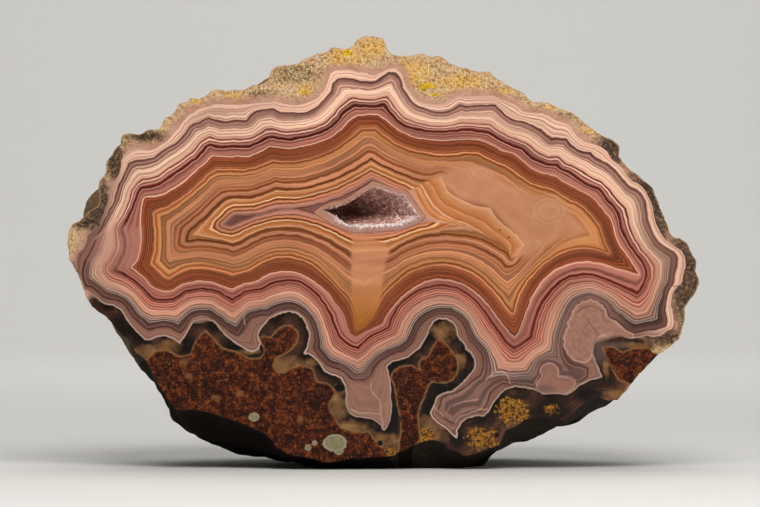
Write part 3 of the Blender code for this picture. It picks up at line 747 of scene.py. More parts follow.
# Thin lines that end somewhere
faceStrokes = {
    "paleStroke": [
        [(447.7, 411), (450.3, 405.9), (458, 403.3), (468, 401), (479, 399.4)],
        [(455.5, 422.8), (460.7, 416.3), (471, 412.4), (479, 409.8), (488, 409.8)],
        [(352, 410), (360, 413), (370, 413), (380, 414)],
        [(371, 384), (371, 390), (374, 395), (379, 399), (381, 406), (381, 415), (383, 426)],
        [(604.3, 342.9), (613, 362), (622.9, 382.9)],
        [(488, 378.5), (493.2, 373.3), (501, 372), (507.5, 374.6), (510, 382.5)],
        [(431, 402), (436, 409), (443, 416)],
        [(113.7, 214), (110.4, 221.8), (103.8, 230.6), (96, 238.4)],
        [(244, 317), (245, 324)],
    ],
    "darkStroke": [
        [(587, 320), (595.5, 331), (604.3, 342.9)],
        [(492, 382), (497, 378), (502, 377)],
        [(454, 421), (459.5, 414.6), (470, 410.8), (478, 408.2)],
        [(577, 312), (583, 307.5), (593, 306), (602, 311), (604, 319)],
        [(667, 285.2), (674, 286), (680, 286.5)],
        [(111, 213), (107.5, 221), (101, 229), (94, 236.5)],
    ],
}
bandLines = [faceEdge, laceOuter, laceInner, wineLine, pinkLine, caramelLine, chocolateLine, quartzRim]
bandNames = ["rind", "lace", "outer", "wine", "rust", "salmon", "caramel", "quartz"]
bandWidths = [10.0, 14.0, 26.0, 10.0, 18.0, 28.0, 20.0, 8.0]   # usual width of each, in sketch units
# The layers right of the hollow: their outer edge, a pale ribbon halfway and the edge by the crystals
goldenLines = [
    [
        (430, 174), (441.7, 176.3), (444.4, 183), (449.6, 192.5), (458, 197.8), (468.5, 203),
        (479, 206.2), (490, 207.8), (493.7, 213.5), (500, 222), (508.4, 228.2), (515.7, 233.5),
        (525.2, 245), (518, 254), (509.4, 261.8),
    ],
    [
        (416, 183), (422.3, 185.2), (426.5, 194.6), (432.8, 205), (442, 213.5), (453.8, 219.8),
        (468.5, 225), (477, 230.3), (481, 232.4), (492, 239), (502, 246), (508, 256),
    ],
    [
        (404, 186), (409, 192), (413, 201), (417.5, 210), (424, 219), (430, 223), (448, 226),
        (470, 231), (490, 241),
    ],
]
crinkle = {"size": 7.0, "reach": 0.75}      # sketch units: how the bands wander off their smooth lines
spotEdge = {"reach": 1.6, "fade": 1.2}      # of a spot's size: where it has faded out, and over how much
strokeEdge = {"reach": 3.2, "fade": 1.2}    # sketch units from a thin line, in the same way
rockEdges = np.concatenate([smoothLine(line, 0.3) for line in (cornerRock, mushroomRock, islandRock)])


def sketchPlaces(item):
    # the item's vertices in sketch units, and which of them lie on the polished face
    count = len(item.data.vertices)
    places = np.empty(count * 3)
    item.data.vertices.foreach_get("co", places)
    places = places.reshape(-1, 3) / metresPerMm
    onFront = np.abs(places[:, 1] - stone["faceY"]) < 1e-3
    across = places[:, 0] / unit + stone["sketchMiddle"]
    down = stone["sketchGround"] - places[:, 2] / unit
    return np.stack([across, down], axis=1), onFront


def store(item, name, values, onFront):
    whole = np.zeros(len(onFront), dtype=np.float32)
    whole[onFront] = values
    layer = item.data.attributes.new(name, "FLOAT", "POINT")
    layer.data.foreach_set("value", whole)


def patchGap(places, outline):
    # distance to a patch's outline in sketch units, above zero inside it
    line = smoothLine(outline, 0.4)
    side = np.where(isInside(places, line[::3]), 1.0, -1.0)
    return side * distanceTo(places, line)


def strokeGap(places, stroke):
    # distance to an open line, below zero on one side of it
    stroke = np.array(stroke, dtype=float)
    line = []
    ahead = []
    for a, b in zip(stroke, stroke[1:]):
        count = max(int(np.linalg.norm(b - a) / 0.3), 2)
        line += [a + (b - a) * i / count for i in range(count)]
        ahead += [(b - a) / np.linalg.norm(b - a)] * count
    line.append(stroke[-1])
    ahead.append(ahead[-1])
    tree = kdtree.KDTree(len(line))
    for i, spot in enumerate(line):
        tree.insert((spot[0], spot[1], 0.0), i)
    tree.balance()
    gap = np.empty(len(places))
    for i, spot in enumerate(places):
        near, index, away = tree.find((spot[0], spot[1], 0.0))
        turn = ahead[index][0] * (spot[1] - near[1]) - ahead[index][1] * (spot[0] - near[0])
        gap[i] = away if turn >= 0 else -away
    return gap


def storeSpots(item, places, onFront, spots):
    for name, ellipses in spots.items():
        value = np.zeros(len(places))
        for x, y, halfWidth, halfHeight in ellipses:
            reach = np.hypot((places[:, 0] - x) / halfWidth, (places[:, 1] - y) / halfHeight)
            here = np.clip((spotEdge["reach"] - reach) / spotEdge["fade"], 0, 1)
            value = np.maximum(value, here)
        store(item, name, value, onFront)


def storeBands(item):
    # writes where each point of the agate's face lies between the bands, and the patches it is in
    exact, onFront = sketchPlaces(item)
    exact = exact[onFront]
    places = exact.copy()
    for i, (x, y) in enumerate(exact):
        spot = Vector((x / crinkle["size"], y / crinkle["size"], 0.0))
        wander = noise.noise_vector(spot) + noise.noise_vector(spot * 2.3) * 0.5
        places[i] += np.array([wander.x, wander.y]) * crinkle["reach"]
    lines = [smoothLine(line, 0.3, sharpest=24.0) for line in bandLines]
    gaps = [distanceTo(places, line) for line in lines]
    insides = [isInside(places, line[::4]) for line in lines[1:]]
    zone = np.zeros(len(places), dtype=int)
    reached = np.ones(len(places), dtype=bool)
    for inside in insides:
        reached &= inside
        zone += reached
    band = np.zeros(len(places))
    last = len(lines) - 1
    for i in range(last):
        share = gaps[i] / (gaps[i] + gaps[i + 1] + 1e-6)
        band = np.where(zone == i, i + share, band)
    band = np.where(zone == last, last + np.clip(gaps[last] / bandWidths[last], 0, 0.99), band)
    starts = np.concatenate([[0.0], np.cumsum(bandWidths)])
    whole = np.floor(band).astype(int)
    growth = starts[whole] + (band - whole) * np.array(bandWidths)[whole]
    edge, ribbon, inner = [strokeGap(places, line) for line in goldenLines]
    outerShare = np.abs(edge) / (np.abs(edge) + np.abs(ribbon) + 1e-6)
    innerShare = 1.0 + np.abs(ribbon) / (np.abs(ribbon) + np.abs(inner) + 1e-6)
    # distances to the lines between the bands, below zero inside them
    values = {}
    names = ["laceGap", "innerGap", "wineGap", "pinkGap", "caramelGap", "chocolateGap"]
    for name, gap, inside in zip(names, gaps[1:], insides):
        values[name] = gap * np.where(inside, -1.0, 1.0)
    values |= {
        "band": band,
        "growth": growth,
        "edgeGap": distanceTo(exact, lines[0]),
        "rockGap": distanceTo(exact, rockEdges),
        "goldenShare": np.where(ribbon < 0, outerShare, innerShare) / 2,
    }
    for name, value in values.items():
        store(item, name, value, onFront)
    for name, outline in facePatches.items():
        store(item, name, patchGap(places, outline), onFront)
    storeSpots(item, places, onFront, faceSpots)
    for name, strokes in faceStrokes.items():
        gaps = np.array([strokeGap(places, stroke) for stroke in strokes])
        nearest = np.abs(gaps).argmin(axis=0)
        gap = gaps[nearest, np.arange(len(places))]
        store(item, name, gap, onFront)
        near = np.clip((strokeEdge["reach"] - np.abs(gap)) / strokeEdge["fade"], 0, 1)
        store(item, name + "Near", near, onFront)
    return [*values, *facePatches, *faceSpots, *faceStrokes, *[name + "Near" for name in faceStrokes]]


def storeRock(item):
    places, onFront = sketchPlaces(item)
    places = places[onFront]
    store(item, "rockGap", distanceTo(places, rockEdges), onFront)
    storeSpots(item, places, onFront, rockSpots)
    return ["rockGap", *rockSpots]


agateValues = storeBands(agateStone)
rockValues = storeRock(lavaRock)
print("bands laid out on the face")


def linear(hexColour):
    # an sRGB hex colour as linear red, green and blue, with an alpha of 1
    parts = [int(hexColour[i:i + 2], 16) / 255 for i in (0, 2, 4)]
    return [p / 12.92 if p <= 0.04045 else ((p + 0.055) / 1.055) ** 2.4 for p in parts] + [1.0]


def addNode(tree, kind, inputs=None, out=0, stops=None, **settings):
    # adds a node, gives its inputs their links or values and returns one output
    node = tree.nodes.new("ShaderNode" + kind)
    for name, value in settings.items():
        setattr(node, name, value)
    for key, value in (inputs or {}).items():
        if isinstance(value, bpy.types.NodeSocket):
            tree.links.new(value, node.inputs[key])
        else:
            node.inputs[key].default_value = linear(value) if isinstance(value, str) else value
    if stops:
        elements = node.color_ramp.elements
        while len(elements) < len(stops):
            elements.new(1.0)
        for element, (place, colour) in zip(elements, stops):
            element.position = place
            element.color = linear(colour)
    return node.outputs[out]


def startMaterial(name, settings):
    material = bpy.data.materials.new(name)
    material.use_nodes = True
    shader = material.node_tree.nodes["Principled BSDF"]
    for key, value in settings.items():
        shader.inputs[key].default_value = value
    return material, material.node_tree, shader


def perMetre(size):
    # the scale of a pattern whose cells are so many millimetres wide
    return 1.0 / (size * metresPerMm)


noiseSpan = (0.28, 0.72)        # where nearly all of a noise lies


def addNoises(tree, place, noises):
    # noises by name as (size in mm, detail, roughness), each spread over 0 to 1
    made = {}
    for name, (size, detail, roughness) in noises.items():
        settings = {"Vector": place, "Scale": perMetre(size), "Detail": detail, "Roughness": roughness}
        value = addNode(tree, "TexNoise", settings)
        made[name] = addNode(tree, "MapRange", {0: value, 1: noiseSpan[0], 2: noiseSpan[1]})
    return made


def addLayers(tree, colour, layers, held, ramps):
    # lays colours over a base, each where a stored value says, from the span's start to its end:
    # fold makes a line of a border, wobble roughens it with a noise, amount is the most that is
    # laid, limit names a value that masks it, by names the value that picks from a ramp
    for layer in layers:
        value = held[layer["where"]]
        if "wobble" in layer:
            name, reach = layer["wobble"]
            drift = addNode(tree, "MapRange", {0: held[name], 3: -reach, 4: reach})
            value = addNode(tree, "Math", {0: value, 1: drift}, operation="ADD")
        if "fold" in layer:
            value = addNode(tree, "Math", {0: value, 1: layer["fold"]}, operation="SUBTRACT")
            value = addNode(tree, "Math", {0: value}, operation="ABSOLUTE")
        start, end = layer["span"]
        mask = addNode(tree, "MapRange", {0: value, 1: start, 2: end, 4: layer.get("amount", 1.0)})
        if "limit" in layer:
            mask = addNode(tree, "Math", {0: mask, 1: held[layer["limit"]]}, operation="MULTIPLY")
        over = layer["colour"]
        if over in ramps:
            over = addNode(tree, "ValToRGB", {0: held[layer["by"]]}, stops=ramps[over])
        colour = addNode(tree, "Mix", {0: mask, 6: colour, 7: over}, 2, data_type="RGBA")
    return colour


# Each band from its outer line to its inner one; the copies named Below are darker and browner, partly the
# bands' own colour and partly painted shade towards the bottom and left
bandRamps = {
    "lace": [
        (0.0, "e8bba2"), (0.12, "e0af97"), (0.3, "e6b89e"), (0.45, "d9a58d"), (0.6, "ecc1a8"),
        (0.78, "e4b49a"), (0.9, "cd9b83"), (0.96, "9e6f5e"), (1.0, "5b352f"),
    ],
    # darker, browner lower copy: partly the band's own colour, partly painted shade
    "laceBelow": [
        (0.0, "a48674"), (0.08, "9c7666"), (0.17, "84604f"), (0.26, "9c7262"), (0.36, "845c4e"),
        (0.46, "946858"), (0.56, "8a6050"), (0.68, "986a5a"), (0.8, "82584a"), (0.9, "704c40"),
        (0.96, "583a32"), (1.0, "3e2620"),
    ],
    "outer": [
        (0.0, "542f28"), (0.03, "80544a"), (0.10, "a07466"), (0.17, "946658"), (0.205, "b98f78"),
        (0.24, "d8a992"), (0.275, "956455"), (0.31, "e6b79d"), (0.355, "d1a188"), (0.40, "f5caad"),
        (0.45, "daa990"), (0.5, "f5caab"), (0.545, "e1ae92"), (0.575, "efbd9f"), (0.6, "be836d"),
        (0.63, "e4ab90"), (0.66, "c48a78"), (0.7, "4b1612"), (0.735, "b77c69"), (0.77, "f0bfa7"),
        (0.805, "af7362"), (0.835, "45120d"), (0.875, "c48876"), (0.9, "ab6f5d"), (0.93, "753830"),
        (0.975, "501b15"), (1.0, "4c1711"),
    ],
    # darker, browner lower copy: partly the band's own colour, partly painted shade
    "outerBelow": [
        (0.0, "644840"), (0.04, "6a473d"), (0.12, "624139"), (0.17, "563c34"), (0.195, "281816"),
        (0.23, "aa9083"), (0.26, "39231e"), (0.295, "c59f8c"), (0.33, "7d584e"), (0.37, "c5927a"),
        (0.42, "b27966"), (0.46, "cf987f"), (0.5, "b78069"), (0.55, "cf957c"), (0.6, "c1866e"),
        (0.64, "975344"), (0.68, "d4937a"), (0.72, "802f23"), (0.76, "ca866e"), (0.8, "9c503e"),
        (0.84, "ca8170"), (0.88, "601810"), (0.92, "b26c58"), (0.96, "843c30"), (1.0, "4a130e"),
    ],
    "wine": [
        (0.0, "4a1610"), (0.06, "592118"), (0.14, "c28875"), (0.2, "af7261"), (0.28, "69342a"),
        (0.34, "84493d"), (0.42, "ab6b5a"), (0.5, "b27261"), (0.58, "9f6050"), (0.66, "b67663"),
        (0.75, "a96755"), (0.84, "be7d68"), (0.92, "c89080"), (0.96, "cc9482"), (1.0, "c08468"),
    ],
    # darker, browner lower copy: partly the band's own colour, partly painted shade
    "wineBelow": [
        (0.0, "5c1c14"), (0.06, "743026"), (0.14, "9f5f51"), (0.26, "ad6b5b"), (0.36, "98584a"),
        (0.42, "7f3f33"), (0.48, "a86656"), (0.62, "9f6152"), (0.72, "b67464"), (0.84, "ad6d5d"),
        (0.93, "cd9278"), (1.0, "b87458"),
    ],
    "rust": [
        (0.0, "88442d"), (0.05, "6f3219"), (0.11, "a15635"), (0.17, "72341b"), (0.23, "9d5131"),
        (0.29, "6f341b"), (0.35, "985133"), (0.41, "6d341b"), (0.47, "985233"), (0.53, "6f371d"),
        (0.59, "9f5837"), (0.65, "784021"), (0.71, "ac643f"), (0.76, "88482b"), (0.8, "bd7149"),
        (0.84, "d28c62"), (0.88, "b57045"), (0.94, "904c29"), (1.0, "ac6439"),
    ],
    "salmon": [
        (0.0, "b87848"), (0.06, "bb784a"), (0.1, "c28456"), (0.155, "a6643c"), (0.2, "c7875e"),
        (0.25, "a66743"), (0.3, "c28459"), (0.335, "aa6945"), (0.37, "d08f65"), (0.42, "b3704d"),
        (0.46, "b47453"), (0.53, "b97957"), (0.57, "9e633d"), (0.62, "b67250"), (0.68, "a7633f"),
        (0.73, "7b3a21"), (0.77, "aa6441"), (0.82, "c78560"), (0.88, "cb8964"), (0.945, "965633"),
        (1.0, "a05c34"),
    ],
    "caramel": [
        (0.0, "a06438"), (0.085, "a76b3f"), (0.17, "d8976d"), (0.25, "b37246"), (0.34, "ae6938"),
        (0.4, "a05d2b"), (0.44, "d89e72"), (0.47, "efba90"), (0.5, "e9af81"), (0.535, "995326"),
        (0.57, "753513"), (0.595, "894d25"), (0.64, "c3764e"), (0.72, "cc8762"), (0.79, "95533d"),
        (0.85, "be7e66"), (0.92, "bd7d66"), (0.965, "b0745e"), (1.0, "c89482"),
    ],
    "quartz": [
        (0.0, "b47c6a"), (0.1, "a06c5c"), (0.2, "744a40"), (0.27, "5e3832"), (0.36, "6e443c"),
        (0.6, "946258"), (1.0, "704640"),
    ],
}
agateFace = {
    "lineStrength": 0.42,       # how far the finest growth lines darken; they lighten half as far
    "linesPerUnit": 0.75,       # fine growth lines for each sketch unit across the bands
    "lineStretch": 40.0,        # and for each metre along them
    "lineSpan": (0.38, 0.6),    # the part of their noise that shows
    "slowTint": (0.93, 1.07),   # darkest and lightest of the broad unevenness
    # patches where the fine lines fade: sketch units into one from where to where, and how much
    "calm": {
        "plain": (-6.0, 1.0, 0.9),
        **{name: (-1.5, 1.5, 0.8) for name in ("lobe", "ear", "knobs", "bulge", "golden", "column")},
    },
    # where a look starts and where it is whole: heights and places in metres, the rest in sketch units
    "spans": {
        "down": (0.0400, 0.0235),       # heights from the top to the foot of the column
        "lower": (0.042, 0.028),        # heights where the bands turn to their darker, browner lower colours: partly their own colour, partly painted shade towards the bottom
        "left": (-0.046, -0.050),       # places where the outer band turns darker and browner at the left end: partly its own colour, partly painted shade
        "under": (-4.0, 2.0),           # into the lower part, where the rind gives way to clear chalcedony
        "low": (-26.0, -2.0),           # into the lower part, where the outermost band turns darker and browner: partly its own colour, partly painted shade
    },
    "mauve": "906a60",
    "mauveSpan": (0.35, 0.12),  # of the outer band's width, from its pure colours to the mauve
    "mauveAmount": 0.7,
    "grainSize": 0.3,           # mm across a grain of the rind
    "grainMix": (0.5, 0.35),    # shares of the rough noise and of the mottling in the grains
    "grainSpan": (0.3, 0.7),
    "seamSpan": (0.0, 0.14),    # of a grain's width, from the seam beside it
    "seamShadeTint": (0.6, 1.06),    # painted shade: darkest in the seam, lightest on the grain
    "seamStart": (2.0, 9.0),    # sketch units from the bands where the seams come in
    "haloReach": (16.0, 0.7),   # sketch units from the bands that its ramp takes, and how much of the ramp
    "haloCloud": 0.45,          # share of the soft noise in it
    "polish": (0.18, 0.3),      # roughness, least and most
    "brokenRoughness": 0.75,
    "bumpStrength": 0.8,
    "bumpHeight": 0.3,          # mm
    "noises": {
        "slow": (9.0, 2.0, 0.5),
        "soft": (3.0, 3.0, 0.5),
        "cloud": (1.5, 3.0, 0.5),
        "mottle": (0.7, 4.0, 0.6),
        "rough": (0.5, 5.0, 0.65),
    },
    "ramps": {
        "bulge": [(0.0, "9b675a"), (0.5, "ad7768"), (1.0, "b88375")],
        "plain": [(0.0, "b87c5a"), (0.5, "be8260"), (1.0, "c48a66")],
        "eyes": [
            (0.0, "be8260"), (0.2, "c68e6a"), (0.35, "b87c5c"), (0.5, "ca946e"), (0.65, "b88060"),
            (0.8, "ce9a76"), (1.0, "c08a68"),
        ],
        "golden": [
            (0.0, "e0ad8a"), (0.02, "d9a27d"), (0.06, "cd8e64"), (0.15, "c68252"), (0.235, "ba703d"),
            (0.265, "ab6136"), (0.29, "d18e64"), (0.34, "c67e4e"), (0.42, "bc7141"), (0.465, "ab6338"),
            (0.485, "d59770"), (0.505, "e6af88"), (0.53, "dca279"), (0.555, "ab653d"), (0.6, "cd8756"),
            (0.66, "d5925f"), (0.71, "c67e4a"), (0.76, "af683f"), (0.8, "d19068"), (0.88, "cd9271"),
            (0.95, "ba8980"), (1.0, "af7e77"),
        ],
        "column": [
            (0.0, "d08d66"), (0.14, "bf7850"), (0.2, "d49368"), (0.32, "bf7a5a"), (0.38, "d08f66"),
            (0.45, "c4815c"), (0.52, "d08f64"), (0.6, "bf7a4e"), (0.7, "bf7842"), (0.85, "ab682c"),
            (1.0, "9c5a1e"),
        ],
        "ear": [(0.0, "906255"), (0.5, "9b6e5e"), (1.0, "a57866")],
        "rind": [
            (0.0, "a47a48"), (0.2, "c4986a"), (0.4, "e0b484"), (0.6, "f0c898"), (0.75, "d8ac7c"),
            (0.9, "fce8c8"), (1.0, "b88c60"),
        ],
        "gold": [
            (0.0, "b87c38"), (0.25, "dca04c"), (0.5, "f8c878"), (0.7, "e8b060"), (0.9, "ffe8b0"),
            (1.0, "bc863c"),
        ],
        "sun": [(0.0, "b87c10"), (0.5, "ecb820"), (1.0, "f8d848")],
        "grey": [(0.0, "6c5438"), (0.35, "a07e54"), (0.6, "c09c6c"), (0.85, "e8cca0"), (1.0, "785c3c")],
        "dusk": [(0.0, "120c0a"), (0.3, "32231e"), (0.55, "463228"), (0.8, "5e4636"), (1.0, "8c6844")],
        "pink": [(0.0, "b8846c"), (0.5, "c8947c"), (1.0, "d4a48c")],
        "halo": [(0.0, "0b0503"), (0.25, "1e110b"), (0.45, "3c251a"), (0.7, "5d3b2a"), (1.0, "754a31")],
        "olive": [(0.0, "543a24"), (0.4, "725030"), (0.7, "88623c"), (1.0, "9a7448")],
        "moss": [(0.0, "1f1006"), (0.3, "5b3811"), (0.6, "8a5a1c"), (0.85, "ba8330"), (1.0, "391f0a")],
    },
    # over the bands: first the lines between them, then patches and short lines
    "patches": [
        {"where": "innerGap", "fold": 0.2, "span": (1.0, 0.2), "amount": 0.7, "colour": "46281f"},
        {"where": "wineGap", "fold": 0.0, "span": (1.0, 0.2), "amount": 0.7, "colour": "501810"},
        {"where": "pinkGap", "fold": 0.6, "span": (1.0, 0.1), "amount": 0.65, "colour": "e4ac92"},
        {"where": "caramelGap", "fold": 0.0, "span": (1.0, 0.1), "amount": 0.45, "colour": "743a18"},
        {"where": "chocolateGap", "fold": 0.0, "span": (1.4, 0.4), "amount": 0.85, "colour": "5c240c"},
        {"where": "laceGap", "fold": -0.6, "span": (1.1, 0.3), "amount": 0.75, "colour": "bc9c8e",
         "limit": "under"},
        {"where": "laceGap", "fold": -2.2, "span": (0.9, 0.2), "amount": 0.6, "colour": "5a4640",
         "limit": "under"},
        {"where": "bulge", "span": (-4.0, 5.0), "amount": 0.5, "colour": "bulge", "by": "soft"},
        {"where": "plain", "span": (-4.0, 4.0), "amount": 0.94, "colour": "plain", "by": "soft"},
        {"where": "eyes", "span": (0.02, 0.4), "amount": 0.5, "colour": "eyes", "by": "eyes"},
        {"where": "golden", "span": (-0.8, 1.0), "amount": 0.95, "colour": "golden", "by": "goldenShare"},
        {"where": "column", "span": (-1.5, 2.0), "amount": 0.85, "colour": "column", "by": "down"},
        {"where": "lobe", "span": (-1.0, 4.0), "amount": 0.45, "colour": "ear", "by": "soft"},
        {"where": "ear", "span": (-0.6, 0.5), "colour": "ear", "by": "mottle"},
        {"where": "ear", "fold": 1.0, "span": (1.4, 0.2), "amount": 0.5, "colour": "c8a494"},
        {"where": "knobs", "span": (-0.6, 0.8), "amount": 0.6, "colour": "ear", "by": "soft"},
        {"where": "knobs", "fold": 0.5, "span": (1.2, 0.2), "amount": 0.35, "colour": "d0aa9a"},
        {"where": "smoke", "span": (0.2, 0.9), "amount": 0.75, "colour": "64524a"},
        {"where": "paleStroke", "fold": 0.0, "span": (1.2, 0.2), "amount": 0.5, "colour": "c8a090",
         "limit": "paleStrokeNear"},
        {"where": "darkStroke", "fold": 0.0, "span": (1.1, 0.2), "amount": 0.6, "colour": "5e403a",
         "limit": "darkStrokeNear"},
    ],
    # over the rind
    "crusts": [
        {"where": "grey", "wobble": ("mottle", 0.35), "span": (0.35, 0.75), "colour": "grey",
         "by": "grain"},
        {"where": "gold", "wobble": ("mottle", 0.35), "span": (0.35, 0.75), "colour": "gold",
         "by": "grain"},
        {"where": "sun", "wobble": ("mottle", 0.3), "span": (0.4, 0.6), "colour": "sun", "by": "grain"},
        {"where": "laceGap", "wobble": ("cloud", 2.0), "span": (9.0, 3.0), "amount": 0.92,
         "colour": "pink", "by": "soft"},
        {"where": "dusk", "wobble": ("mottle", 0.3), "span": (0.3, 0.8), "amount": 0.92,
         "colour": "dusk", "by": "grain"},
    ],
    # over the dark clear chalcedony
    "clears": [
        {"where": "night", "wobble": ("cloud", 0.2), "span": (0.2, 0.8), "amount": 0.88,
         "colour": "0c0806"},
        {"where": "smoke", "span": (0.2, 0.9), "amount": 0.8, "colour": "5e4a42"},
        {"where": "olive", "wobble": ("cloud", 0.3), "span": (0.2, 0.9), "amount": 0.9,
         "colour": "olive", "by": "soft"},
        {"where": "rockGap", "wobble": ("rough", 0.6), "span": (1.7, 0.4), "amount": 0.8,
         "colour": "8a6440"},
        {"where": "moss", "wobble": ("mottle", 0.45), "span": (0.4, 0.6), "colour": "moss",
         "by": "grain"},
    ],
    # over everything
    "marks": [
        # a pale line along the upper edge of the face: partly its pale chipped edge, partly a painted
        # highlight where the rounded rim catches the light
        {"where": "edgeGap", "wobble": ("mottle", 0.8), "span": (1.5, 0.3), "amount": 0.6,
         "colour": "c8a47c", "limit": "above"},
        {"where": "dark", "span": (0.45, 0.7), "colour": "080504"},
    ],
}


def polishedAgate():
    # Banded chalcedony, sawn and polished with fine powder: flat and glossy, with the colour in
    # growth lines a few tenths of a millimetre wide and a grainy rind round them
    look = agateFace
    ramps = look["ramps"]
    material, tree, shader = startMaterial("polishedAgate", {"IOR": 1.54, "Specular IOR Level": 0.2})
    place = addNode(tree, "TexCoord", out=3)
    axes = addNode(tree, "SeparateXYZ", {0: place}).node
    held = addNoises(tree, place, look["noises"])
    for name in agateValues:
        held[name] = addNode(tree, "Attribute", out=2, attribute_name=name)
    held |= {"down": axes.outputs[2], "lower": axes.outputs[2], "left": axes.outputs[0]}
    held |= {"under": held["below"], "low": held["below"]}
    for name, (start, end) in look["spans"].items():
        held[name] = addNode(tree, "MapRange", {0: held[name], 1: start, 2: end})
    held["above"] = addNode(tree, "Math", {0: 1.0, 1: held["under"]}, operation="SUBTRACT")

    # The bands, with the outer ones darker and browner towards the bottom, and the outermost also at the
    # left end: partly their own colour, partly painted shade
    low = addNode(tree, "Math", {0: held["low"], 1: held["left"]}, operation="MAXIMUM")
    colour = None
    for i, name in enumerate(bandNames[1:], 1):
        settings = {0: held["band"], 1: float(i)}
        share = addNode(tree, "Math", settings, operation="SUBTRACT", use_clamp=True)
        here = addNode(tree, "ValToRGB", {0: share}, stops=bandRamps[name])
        # mixes in the darker, browner lower copy: partly the band's own colour, partly painted shade
        if name + "Below" in bandRamps:
            below = addNode(tree, "ValToRGB", {0: share}, stops=bandRamps[name + "Below"])
            lower = low if name == "lace" else held["lower"]
            here = addNode(tree, "Mix", {0: lower, 6: here, 7: below}, 2, data_type="RGBA")
        if name == "outer":
            start, end = look["mauveSpan"]
            mask = addNode(tree, "MapRange", {0: share, 1: start, 2: end, 4: look["mauveAmount"]})
            mask = addNode(tree, "Math", {0: held["mauve"], 1: mask}, operation="MULTIPLY")
            here = addNode(tree, "Mix", {0: mask, 6: here, 7: look["mauve"]}, 2, data_type="RGBA")
        if colour is None:
            colour = here
        else:
            past = addNode(tree, "Math", settings, operation="GREATER_THAN")
            colour = addNode(tree, "Mix", {0: past, 6: colour, 7: here}, 2, data_type="RGBA")

    # Fine growth lines: a noise that runs quickly across the bands and slowly along them
    across = addNode(tree, "Math", {0: held["growth"], 1: look["linesPerUnit"]}, operation="MULTIPLY")
    along = addNode(tree, "VectorMath", {0: place, 3: look["lineStretch"]}, operation="SCALE")
    along = addNode(tree, "SeparateXYZ", {0: along}).node
    lineSpace = addNode(tree, "CombineXYZ", {0: across, 1: along.outputs[0], 2: along.outputs[2]})
    settings = {"Vector": lineSpace, "Scale": 1.0, "Detail": 2.0, "Roughness": 0.5}
    lines = addNode(tree, "TexNoise", settings)
    start, end = look["lineSpan"]
    darkest, lightest = 1.0 - look["lineStrength"], 1.0 + look["lineStrength"] * 0.5
    lines = addNode(tree, "MapRange", {0: lines, 1: start, 2: end, 3: darkest, 4: lightest})
    calm = 0.0
    for name, (start, end, amount) in look["calm"].items():
        calmer = addNode(tree, "MapRange", {0: held[name], 1: start, 2: end, 4: amount})
        calm = addNode(tree, "Math", {0: calm, 1: calmer}, operation="MAXIMUM")
    lines = addNode(tree, "Mix", {0: calm, 2: lines, 3: 1.0}, data_type="FLOAT")
    darkest, lightest = look["slowTint"]
    slow = addNode(tree, "MapRange", {0: held["slow"], 3: darkest, 4: lightest})
    lines = addNode(tree, "Math", {0: lines, 1: slow}, operation="MULTIPLY")
    colour = addLayers(tree, colour, look["patches"], held, ramps)
    colour = addNode(tree, "VectorMath", {0: colour, 3: lines}, operation="SCALE")

    # The grainy rind
    pattern = {"Vector": place, "Scale": perMetre(look["grainSize"])}
    cells = addNode(tree, "TexVoronoi", pattern, 1)
    cell = addNode(tree, "SeparateColor", {0: cells})
    rough, mottle = look["grainMix"]
    grain = addNode(tree, "Mix", {0: rough, 2: cell, 3: held["rough"]}, data_type="FLOAT")
    grain = addNode(tree, "Mix", {0: mottle, 2: grain, 3: held["mottle"]}, data_type="FLOAT")
    start, end = look["grainSpan"]
    held["grain"] = addNode(tree, "MapRange", {0: grain, 1: start, 2: end})
    rind = addNode(tree, "ValToRGB", {0: held["grain"]}, stops=ramps["rind"])
    rind = addLayers(tree, rind, look["crusts"], held, ramps)
    # painted shade in the seams between the raised grains, coming in away from the bands
    seamShade = addNode(tree, "TexVoronoi", pattern, feature="DISTANCE_TO_EDGE")
    start, end = look["seamSpan"]
    darkest, lightest = look["seamShadeTint"]
    seamShade = addNode(tree, "MapRange", {0: seamShade, 1: start, 2: end, 3: darkest, 4: lightest})
    start, end = look["seamStart"]
    farther = addNode(tree, "MapRange", {0: held["laceGap"], 1: start, 2: end})
    seamShade = addNode(tree, "Mix", {0: farther, 2: 1.0, 3: seamShade}, data_type="FLOAT")
    rind = addNode(tree, "VectorMath", {0: rind, 3: seamShade}, operation="SCALE")

    # The dark clear chalcedony under the bands
    reach, amount = look["haloReach"]
    away = addNode(tree, "MapRange", {0: held["laceGap"], 1: 0.0, 2: reach, 4: amount})
    depth = addNode(tree, "Mix", {0: look["haloCloud"], 2: away, 3: held["soft"]}, data_type="FLOAT")
    clear = addNode(tree, "ValToRGB", {0: depth}, stops=ramps["halo"])
    clear = addNode(tree, "VectorMath", {0: clear, 3: lines}, operation="SCALE")
    clear = addLayers(tree, clear, look["clears"], held, ramps)
    outside = addNode(tree, "Mix", {0: held["under"], 6: rind, 7: clear}, 2, data_type="RGBA")
    inBands = addNode(tree, "Math", {0: held["band"], 1: 1.0}, operation="GREATER_THAN")
    colour = addNode(tree, "Mix", {0: inBands, 6: outside, 7: colour}, 2, data_type="RGBA")
    colour = addLayers(tree, colour, look["marks"], held, ramps)
    tree.links.new(colour, shader.inputs["Base Color"])

    # Polished on the bands, broken and dull on the rind
    broken = addNode(tree, "Mix", {0: inBands, 2: held["above"], 3: 0.0}, data_type="FLOAT")
    least, most = look["polish"]
    gloss = addNode(tree, "MapRange", {0: held["soft"], 3: least, 4: most})
    dull = look["brokenRoughness"]
    gloss = addNode(tree, "Mix", {0: broken, 2: gloss, 3: dull}, data_type="FLOAT")
    tree.links.new(gloss, shader.inputs["Roughness"])
    bumps = addNode(tree, "Math", {0: held["grain"], 1: broken}, operation="MULTIPLY")
    settings = {"Strength": look["bumpStrength"], "Distance": look["bumpHeight"] * metresPerMm}
    bump = addNode(tree, "Bump", {"Height": bumps, **settings})
    tree.links.new(bump, shader.inputs["Normal"])
    return material


